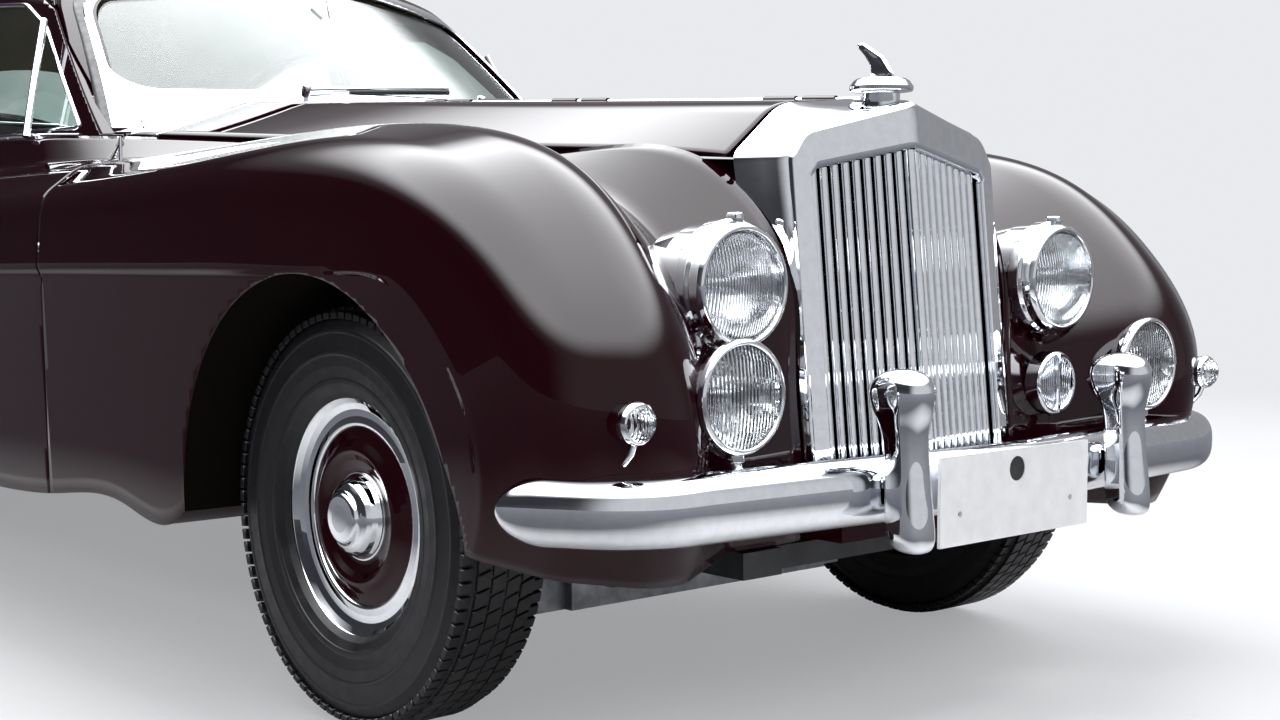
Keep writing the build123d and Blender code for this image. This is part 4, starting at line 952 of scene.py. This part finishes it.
def bumperBar(name, sign, middle, shoulder, tip):
    half = roundedPath([(middle, -60), (middle, 60), shoulder, tip], [0, 900, 230, 0], [4, 10, 12],
                       [0, 10, 14, 0])
    half = np.array([p for p in half if p[1] >= 0])
    path = np.concatenate([np.array([(d, -y) for d, y in half[::-1]]), half])
    length = np.concatenate([[0], np.cumsum(np.linalg.norm(np.diff(path, axis=0), axis=1))])
    even = np.linspace(0, 1, 141)
    even = 0.5 - 0.5 * np.cos(even * math.pi) * (0.55 + 0.45 * np.abs(np.cos(even * math.pi)))
    spots = np.stack([np.interp(even * length[-1], length, path[:, k]) for k in (0, 1)], axis=1)
    loops = []
    for i, s in enumerate(spots):
        ahead = spots[min(i + 1, len(spots) - 1)] - spots[max(i - 1, 0)]
        ahead = ahead / np.linalg.norm(ahead)
        out = np.array([ahead[1], -ahead[0]]) * sign
        if sign * out[0] < 0 and abs(s[1]) < 400:
            out = -out
        fromEnd = min(even[i], 1 - even[i]) * length[-1]
        size = math.sqrt(max(0.0, 1 - (1 - min(fromEnd / barSpec["tipRun"], 1)) ** 2))
        ring = []
        for a in np.linspace(-math.pi, math.pi, 41)[:-1]:
            c, q = math.cos(a), math.sin(a)
            deep = barSpec["deep" if c > 0 else "back"] * np.sign(c) * abs(c) ** 0.9
            high = barSpec["half"] * np.sign(q) * abs(q) ** 0.72
            p = s + out * (-barSpec["deep"] + deep * (0.25 + 0.75 * size))
            ring.append((p[0], p[1], barSpec["height"] + high * size))
        loops.append(ring)
    return loopsMesh(name, loops, *bright)


def overrider(name, y, sign, base):
    table = [(357, 846, 838, 3), (358, 857, 826, 14), (363, 866, 812, 25), (374, 870, 800, 32),
             (392, 870, 794, 34), (430, 866, 792, 33), (480, 861, 790, 31), (530, 858, 786, 31),
             (556, 860, 778, 33), (574, 865, 768, 36), (592, 869, 760, 38), (608, 870, 758, 38),
             (622, 867, 764, 36), (633, 858, 776, 29), (640, 844, 794, 18), (643, 826, 814, 4)]
    turns = [(math.cos(a), math.sin(a)) for a in np.linspace(-math.pi, math.pi, 49)[:-1]]
    rows = []
    for z, ahead, behind, wide in table:
        centre, reach = (ahead + behind) / 2 - 870, (ahead - behind) / 2
        rows.append([(base + sign * (centre + reach * np.sign(c) * abs(c) ** 0.8),
                      y + wide * np.sign(q) * abs(q) ** 0.85, z) for c, q in turns])
    made = loopsMesh(name, splineRows(rows, 80), *bright)
    work = bmesh.new()
    work.from_mesh(made.data)
    bmesh.ops.holes_fill(work, edges=[e for e in work.edges if e.is_boundary], sides=60)
    work.to_mesh(made.data)
    work.free()
    return made


frontBar = bumperBar("frontBumperBar", 1, 812, (748, 760), (545, 898))
rearBar = bumperBar("rearBumperBar", -1, -4325, (-4270, 760), (-4080, 898))
for side, word in bothSides:
    overrider(word + "FrontOverrider", side * 296, 1, 870)
    overrider(word + "RearOverrider", side * 296, -1, -4375)
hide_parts("front_bumper")
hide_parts("rear_bumper")
# dark disc set in the starting-handle hole: painted shade, standing for the hole's dark depth
lathe("handleThroat", [(0, 0), (20.6, 0), (20.6, -2), (0, -2)], (812.5, 0, 462), forward, coreDarkAndHoleShade,
      "car_body", "chassis_black", 48)
print("stage: bumpers")


# wheels and tyres
wheelSpecs = [("front_right", 0.0, -720.0, -1), ("front_left", 0.0, 720.0, 1),
              ("rear_right", -wheelBase, -743.0, -1), ("rear_left", -wheelBase, 743.0, 1)]
discProfile = [(70, 44), (84, 46), (98, 50), (108, 57), (115, 60), (122, 58), (134, 51), (148, 46), (156, 44),
               (160, 34), (172, 20), (204, 0), (206, -60)]
ringProfile = [(155, 42), (157, 46), (162, 47), (174, 45), (186, 46), (197, 50.5), (207, 57.5), (214, 65),
               (219, 69), (223, 67), (223, 60), (214, 54)]
capProfile = [(0, 90), (24, 89.5), (40, 88), (44, 85), (47, 79), (53, 77), (60, 73), (66, 65), (70, 56),
              (74.5, 50), (75, 46), (72, 42)]
halfTyre = [(206, 62), (216, 71), (230, 77), (232, 79), (240, 80), (242, 79.5), (262, 84.5), (280, 86),
            (283, 87.5), (287, 87.5), (290, 86.3), (318, 84), (321, 85), (325, 84.6), (328, 82.5), (341, 77),
            (350, 68), (357, 60), (360.5, 32)]
tyreProfile = [(r, -a) for r, a in halfTyre] + [(361.5, 0)] + halfTyre[::-1]
lug = sourcePiece("lugSource", *block((-0.010, -0.0115, -0.0115), (0.0015, 0.0115, 0.0075), 0.003), 0.0012, 1)
rib = sourcePiece("ribSource", *block((-0.006, -0.013, -0.018), (0.003, 0.013, 0.008), 0.009), 0.001, 1)
treads = [("ShoulderLugs", lug, 92, 0.3535, 0.5, (-0.072, 0.072)),
          ("TreadRibs", rib, 74, 0.3605, 0.25, (-0.045, -0.015, 0.015, 0.045))]
for word, d, y, side in wheelSpecs:
    body = word + "_wheel"
    spot = (d, y, wheelHigh)
    axis = (0, side, 0)
    disc = lathe(word + "Disc", discProfile, spot, axis, wheelPaint, body, "wheel_paint", 96, 6.0, 4)
    lathe(word + "TrimRing", ringProfile, spot, axis, chrome, body, "chrome", 128, 4.0, 4)
    lathe(word + "HubCap", capProfile, spot, axis, chrome, body, "chrome", 96, 8.0, 4)
    lathe(word + "HubStep", [(74, 48), (77, 48), (78, 45), (77, 42)], spot, axis, chrome, body, "chrome", 96,
          1.0, 3)
    lathe(word + "BrakeDrum", [(205, 56), (205, -62), (150, -62), (140, -90), (40, -90)], spot, axis,
          chassisBlack, body, "wheel_paint", 72, 4.0, 3)
    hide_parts("wheel_" + word)
    tyre = lathe(word + "Tyre", tyreProfile, spot, axis, rubber, body, "tyre", 96, 3.0, 2)
    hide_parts("tyre_" + word)
    centre = Vector(toFrame([spot])[0])
    for kind, source, count, radius, phase, places in treads:
        for k, across in enumerate(places):
            values = {"Source": source, "Count": count, "Radius": radius,
                      "Centre": centre + Vector((0, across, 0)), "Phase": phase * k, "Finish": rubber}
            repeated(word + kind + str(k), roundGroup, values, body)
dropSource(lug)
dropSource(rib)
print("stage: wheels")


# seats in stitched hide
def cushion(name, low, high, bulge, edge, hinge=None, lean=0.0):
    made = softBox(name, low, high, bulge, edge, hide, "car_body", "hide")
    if hinge:
        turnAbout(made, hinge, lean)
    return made


seatPieces, rearPieces = [], []
for side, word in bothSides[::-1]:
    middle = side * 350
    for k in range(5):
        y = middle - 262 + k * 105
        seatPieces.append(cushion(word + "SeatFlute" + str(k), (-2230, y, 500), (-1722, y + 104, 636), 14,
                                  26))
        seatPieces.append(cushion(word + "BackFlute" + str(k), (-2330, y, 590), (-2220, y + 104, 1076), 12,
                                  26, (-2240, 0, 600), -13))
    seatPieces.append(cushion(word + "SeatBase", (-2240, middle - 266, 330), (-1724, middle + 266, 505), 6,
                              30))
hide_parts("front_seats")
rearPlaces = [-590 + k * 131 for k in range(9)]
for k, y in enumerate(rearPlaces):
    rearPieces.append(cushion("rearFlute" + str(k), (-3110, y, 480), (-2724, y + 130, 640), 14, 30))
print("stage: seats")
for k, y in enumerate(rearPlaces):
    rearPieces.append(cushion("rearBackFlute" + str(k), (-3130, y, 560), (-3020, y + 130, 1030), 12, 30,
                              (-3030, 0, 600), -9))
rearPieces.append(cushion("rearSeatBase", (-3115, -588, 330), (-2722, 588, 490), 5, 30))
softBox("parcelShelf", (-3540, -478, 1000), (-3160, 478, 1020), 0, 6, headlining, "car_body", "hide", 6)
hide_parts("rear_seat")

# steering wheel, on the right
wheelSpot, columnFoot = (-1620.0, -370.0, 960.0), (-1180.0, -370.0, 860.0)
towards = Vector(columnFoot) - Vector(wheelSpot)
ringPath = [(211 + 11 * math.cos(a), 11 * math.sin(a)) for a in np.linspace(0, 2 * math.pi, 17)]
black = (blackPlastic, "car_body", "black_plastic")
rim = lathe("steeringRim", ringPath, wheelSpot, towards, *black, 96)
lathe("steeringHub", [(0, -14), (30, -13), (38, -6), (38, 14), (20, 24), (20, 60)], wheelSpot, towards,
      *black, 48, 3.0)
tube("steeringColumn", [wheelSpot, columnFoot], 19, *black, 20)
across = Vector((0, 1, 0))
upward = towards.normalized().cross(across)
for k in range(3):
    a = math.radians(90 + 120 * k)
    reach = across * math.cos(a) + upward * math.sin(a)
    spoke = [Vector(wheelSpot) + reach * 30, Vector(wheelSpot) + reach * 206]
    tube("steeringSpoke" + str(k), spoke, 6, chrome, "car_body", "black_plastic", 12)
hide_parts("steering_wheel")

# chrome and rubber round the windscreen, on the glass surface beside the roof skin
screenTable = np.array([(1100, -905, 655, -1215), (1320, -1190, 595, -1445), (1580, -1580, 520, -1790)],
                       float)
screenReach = 1.06  # band grid past the glass edge
screenCurves = [np.polyfit(screenTable[:, 0], screenTable[:, k], 2) for k in (1, 2, 3)]


def screenPoint(share, z, ahead):
    centre, half, corner = (np.polyval(curve, z) for curve in screenCurves)
    back = centre - corner
    radius = (half ** 2 + back ** 2) / (2 * back)
    y = share * half * screenReach
    return (centre + ahead - (radius - math.sqrt(max(radius ** 2 - y ** 2, 1.0))), y, z)


def screenGrid(ahead):
    return np.array([[screenPoint(s, z, ahead) for s in np.linspace(-1, 1, 150)]
                     for z in np.linspace(1090, 1578, 110)])


roofFull = linkMesh("roofProbe", toFrame(roofGrid.reshape(-1, 3)), gridQuads(*roofGrid.shape[:2]), *panel)
probe = BVHTree.FromObject(roofFull, bpy.context.evaluated_depsgraph_get())


def underRoof(grid):
    out = np.zeros(grid.shape[:2])
    flat = toFrame(grid)
    for i in range(grid.shape[0]):
        for j in range(grid.shape[1]):
            p = Vector(flat[i, j])
            near, normal, index, gap = probe.find_nearest(p)
            out[i, j] = 1000 * gap * (1 if (p - near).dot(normal) < 0 else -1)
    return out


def bandFields(near, far, sill, corner):
    def field(grid):
        depth = underRoof(grid)
        side, low = far - depth, sill - grid[..., 2]
        # rounded lower corners
        bend = np.hypot(np.maximum(side + corner, 0), np.maximum(low + corner, 0)) - corner
        atCorner = np.where((side > -corner) & (low > -corner), bend, -1e3)
        return np.minimum(depth - near, np.maximum(np.maximum(side, low), atCorner))
    return field


for name, near, far, sill, ahead, finishUsed, thick, slotName in (
        ("screenTrim", 26, 38, 1184, 7.0, chrome, 6.0, "chrome"),
        ("screenSeal", 14, 30, 1174, 4.6, seal, 3.0, "black_plastic"),
        ("screenFoot", 4, -900, 1168, 3.0, paint, 3.0, "paint")):
    grid = facing(screenGrid(ahead), 40, 75, 0)
    skin(name, grid, [bandFields(near, far, sill, 70)], finishUsed, "car_body", slotName, 0.0, 1, thick)


# half-round bright bead that follows an outline over the roof's surface
def surfaceBead(name, outline, side, body):
    spots, ups, wide, high, ring = [], [], 0.0065, 0.0045, 8
    for a, b in outline:
        start, way = ((a, side * 1500, b), (0, -side, 0)) if side else ((a, b, 2600), (0, 0, -1))
        near, normal, index, gap = probe.ray_cast(Vector(toFrame([start])[0]), Vector(way))
        spots.append(near)
        ups.append(normal if normal.dot(Vector(way)) < 0 else -normal)
    count, verts, faces = len(spots), [], []
    for i in range(count):
        along = (spots[(i + 1) % count] - spots[i - 1]).normalized()
        out = along.cross(ups[i]).normalized()
        for k in range(ring):
            a = 2 * math.pi * k / ring
            verts.append(spots[i] + ups[i] * (0.003 + high * math.sin(a)) + out * wide * math.cos(a))
            n, j = (k + 1) % ring, (i + 1) % count
            faces.append((i * ring + k, i * ring + n, j * ring + n, j * ring + k))
    return fixNormals(linkMesh(name, verts, faces, chrome, body, "chrome"))


for side, word in bothSides:
    surfaceBead(word + "DoorWindowTrim", roundOutline(windowOutline, 26, 10), side, word + "_door")
    surfaceBead(word + "QuarterTrim", roundOutline(quarterOutline, 26, 10), side, "car_body")
surfaceBead("rearWindowTrim", roundOutline(rearOutline, 60, 10), 0, "car_body")
bpy.data.objects.remove(roofFull)

# mirror inside the screen, and the vent bars in the door windows
softBox("insideMirror", (-1330, -105, 1330), (-1312, 105, 1385), 2, 8, *black, 8)
tube("mirrorStem", [(-1316, 0, 1380), (-1330, 0, 1440), (-1380, 0, 1480)], 6, *bright)
for side, word in bothSides:
    tube(word + "VentBar", [(-1424, side * 752, 1077), (-1484, side * 703, 1220), (-1543, side * 652, 1362)],
         9, chrome, word + "_door", "chrome", 12)
    grip = [(-2085, side * 906, 846), (-2090, side * 926, 850), (-2150, side * 932, 850),
            (-2215, side * 928, 848)]
    tube(word + "DoorHandle", grip, 9, chrome, word + "_door", "chrome", 12, 1.4)
    waist = [(d, side * (valueAt(d, 2) + 2), valueAt(d, 3) + 4) for d in np.linspace(-1250, -2238, 24)]
    tube(word + "WaistTrim", waist, 7, chrome, word + "_door", "chrome", 10)
    softBox(word + "DoorBoard", (-2225, side * 688 - 5, 360), (-1100, side * 688 + 5, 1052), 0, 4, hide,
            word + "_door", "hide", 10)
for word, pivotY, tipY in (("right", -250, 170), ("left", 250, 560)):
    arm = []
    for t in np.linspace(0, 1, 16):
        z = 1188 + 26 * t
        half = np.polyval(screenCurves[1], z)
        arm.append(screenPoint((pivotY + (tipY - pivotY) * t) / (half * screenReach), z, 20 - 8 * t))
    tube(word + "WiperArm", arm, 4.5, *bright, 10)
    tube(word + "WiperBlade", [(d + 2, y, z - 9) for d, y, z in arm[4:]], 4, seal, "car_body",
         "black_plastic", 8, 1.6)
    lathe(word + "WiperPivot", [(0, 16), (9, 15), (11, 10), (11, -30)], (arm[0][0] + 6, pivotY, 1184),
          (0.5, 0, 1), *bright, 24, 2.0)
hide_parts("wipers")
print("stage: screen and trim")

# finish for every part carried over from the frame
finishes = {"paint": shellPaint, "chrome": chrome, "glass": glass, "red_lens": redLens, "plate": plateFinish,
            "chassis_black": chassisBlack, "steel": steelGrey, "engine_iron": engineIron, "veneer": wood,
            "black_plastic": blackPlastic, "hide": hide, "wheel_paint": wheelPaint, "tyre": rubber}
slotOf = {entry["node"]: entry["material_slot"] for entry in frame["record"]["subparts"]}
special = {"screen_frame": shellPaint, "front_plate": platePale, "floor_pan": carpet,
           "windscreen_glass": glass}
for name, obj in nodes.items():
    obj.data.materials.clear()
    obj.data.materials.append(special.get(name, finishes.get(slotOf.get(name, ""), chassisBlack)))
print("stage: finishes", len(slotOf))

# studio: pale floor, white surround, big soft sources
floorMade, tree, shader, place, out = newMaterial("studioFloor")
tone, fac = noiseBetween(tree, place, 1.2, "#f4f4f5", "#f8f8f9")
finish(shader, rough=0.5, spec=0.2)
path = addNode(tree, "ShaderNodeLightPath").outputs
squeezed = addNode(tree, "ShaderNodeVectorMath", {0: place, 1: (0.45, 1.0, 1.0)},
                   operation="MULTIPLY").outputs[0]
away = ranged(tree, lengthOf(tree, squeezed), 1.15, 2.2, kind="SMOOTHSTEP")
mirrored = mathNode(tree, "MULTIPLY", away, path["Is Glossy Ray"])
tree.links.new(mixColours(tree, mirrored, tone, colour("#2c2c31")), shader.inputs["Base Color"])
fade = ranged(tree, lengthOf(tree, place), 3.4, 9.0, kind="SMOOTHSTEP")
share = mathNode(tree, "MULTIPLY", ranged(tree, fade, 0.0, 1.0, 0.4), path["Is Camera Ray"])
glow = addNode(tree, "ShaderNodeEmission", {"Color": colour("#e9eaed"), "Strength": 1.0})
both = addNode(tree, "ShaderNodeMixShader", {0: share, 1: shader.outputs[0], 2: glow.outputs[0]})
tree.links.new(both.outputs[0], out.inputs["Surface"])
mesh = bpy.data.meshes.new("studioFloor")
mesh.from_pydata([(-60, -60, 0), (60, -60, 0), (60, 60, 0), (-60, 60, 0)], [], [(0, 1, 2, 3)])
mesh.materials.append(floorMade)
floor = bpy.data.objects.new("studioFloor", mesh)
bpy.context.scene.collection.objects.link(floor)

world = bpy.data.worlds.new("studioWorld")
bpy.context.scene.world = world
world.use_nodes = True
tree = world.node_tree
tree.nodes.clear()
place = addNode(tree, "ShaderNodeTexCoord").outputs["Generated"]
parts = addNode(tree, "ShaderNodeSeparateXYZ", {"Vector": place}).outputs
ramp = addNode(tree, "ShaderNodeValToRGB", {0: parts[2]})
stops = [(0.0, "#46474c"), (0.12, "#36373c"), (0.46, "#3a3b40"), (0.58, "#e6e7ea")]
while len(ramp.color_ramp.elements) < len(stops):
    ramp.color_ramp.elements.new(0.5)
for element, (at, code) in zip(ramp.color_ramp.elements, stops):
    element.position = at
    element.color = colour(code)
ahead = ranged(tree, parts[0], 0.25, 0.8, kind="SMOOTHSTEP")
beyond = mathNode(tree, "MULTIPLY", ranged(tree, parts[1], 0.1, 0.6, kind="SMOOTHSTEP"), 0.45)
paleSide = mixColours(tree, mathNode(tree, "MAXIMUM", ahead, beyond), ramp.outputs[0], colour("#d4d5d9"))
aloft = ranged(tree, parts[2], 0.52, 0.72, 1.0, 12.0, kind="SMOOTHSTEP")
mirrorSky = addNode(tree, "ShaderNodeBackground", {"Color": paleSide, "Strength": aloft})
fill = addNode(tree, "ShaderNodeBackground", {"Color": colour("#e8e9ec"), "Strength": 0.5})
seen = addNode(tree, "ShaderNodeBackground", {"Color": colour("#e9eaed"), "Strength": 1.0})
path = addNode(tree, "ShaderNodeLightPath").outputs
inner = addNode(tree, "ShaderNodeMixShader", {0: path["Is Glossy Ray"], 1: fill.outputs[0],
                                              2: mirrorSky.outputs[0]})
both = addNode(tree, "ShaderNodeMixShader", {0: path["Is Camera Ray"], 1: inner.outputs[0],
                                             2: seen.outputs[0]})
addNode(tree, "ShaderNodeOutputWorld", {"Surface": both.outputs[0]})


def softLight(name, spot, target, wide, high, power):
    data = bpy.data.lights.new(name, "AREA")
    data.shape = "RECTANGLE"
    data.size, data.size_y, data.energy = wide, high, power
    made = bpy.data.objects.new(name, data)
    made.location = spot
    made.rotation_euler = (Vector(target) - Vector(spot)).to_track_quat("-Z", "Y").to_euler()
    made.visible_glossy = False  # bright work mirrors the world's own panels
    bpy.context.scene.collection.objects.link(made)
    return made


softLight("overhead", (0.6, 0.0, 4.6), (0.6, 0, 0), 5.6, 1.5, 170)
softLight("frontSoft", (6.4, -0.6, 3.0), (1.9, 0.0, 0.6), 2.4, 1.2, 50)
softLight("sideSoft", (1.6, -5.2, 3.0), (1.4, -0.6, 0.7), 4.6, 0.9, 45)
softLight("farSide", (1.0, 5.2, 3.2), (0.6, 0.4, 0.7), 5.0, 1.2, 50)

azimuth, pitch = math.radians(41.37), math.radians(3.93)
back = Vector((math.cos(azimuth) * math.cos(pitch), -math.sin(azimuth) * math.cos(pitch), math.sin(pitch)))
data = bpy.data.cameras.new("photoCamera")
data.lens, data.sensor_width = 50.37, 36.0
camera = bpy.data.objects.new("photoCamera", data)
camera.location = (4.3775, -2.434, 0.847)
camera.rotation_euler = back.to_track_quat("Z", "Y").to_euler()
bpy.context.scene.collection.objects.link(camera)
bpy.context.scene.camera = camera
bpy.context.scene.view_settings.view_transform = "Standard"
print("stage: studio")
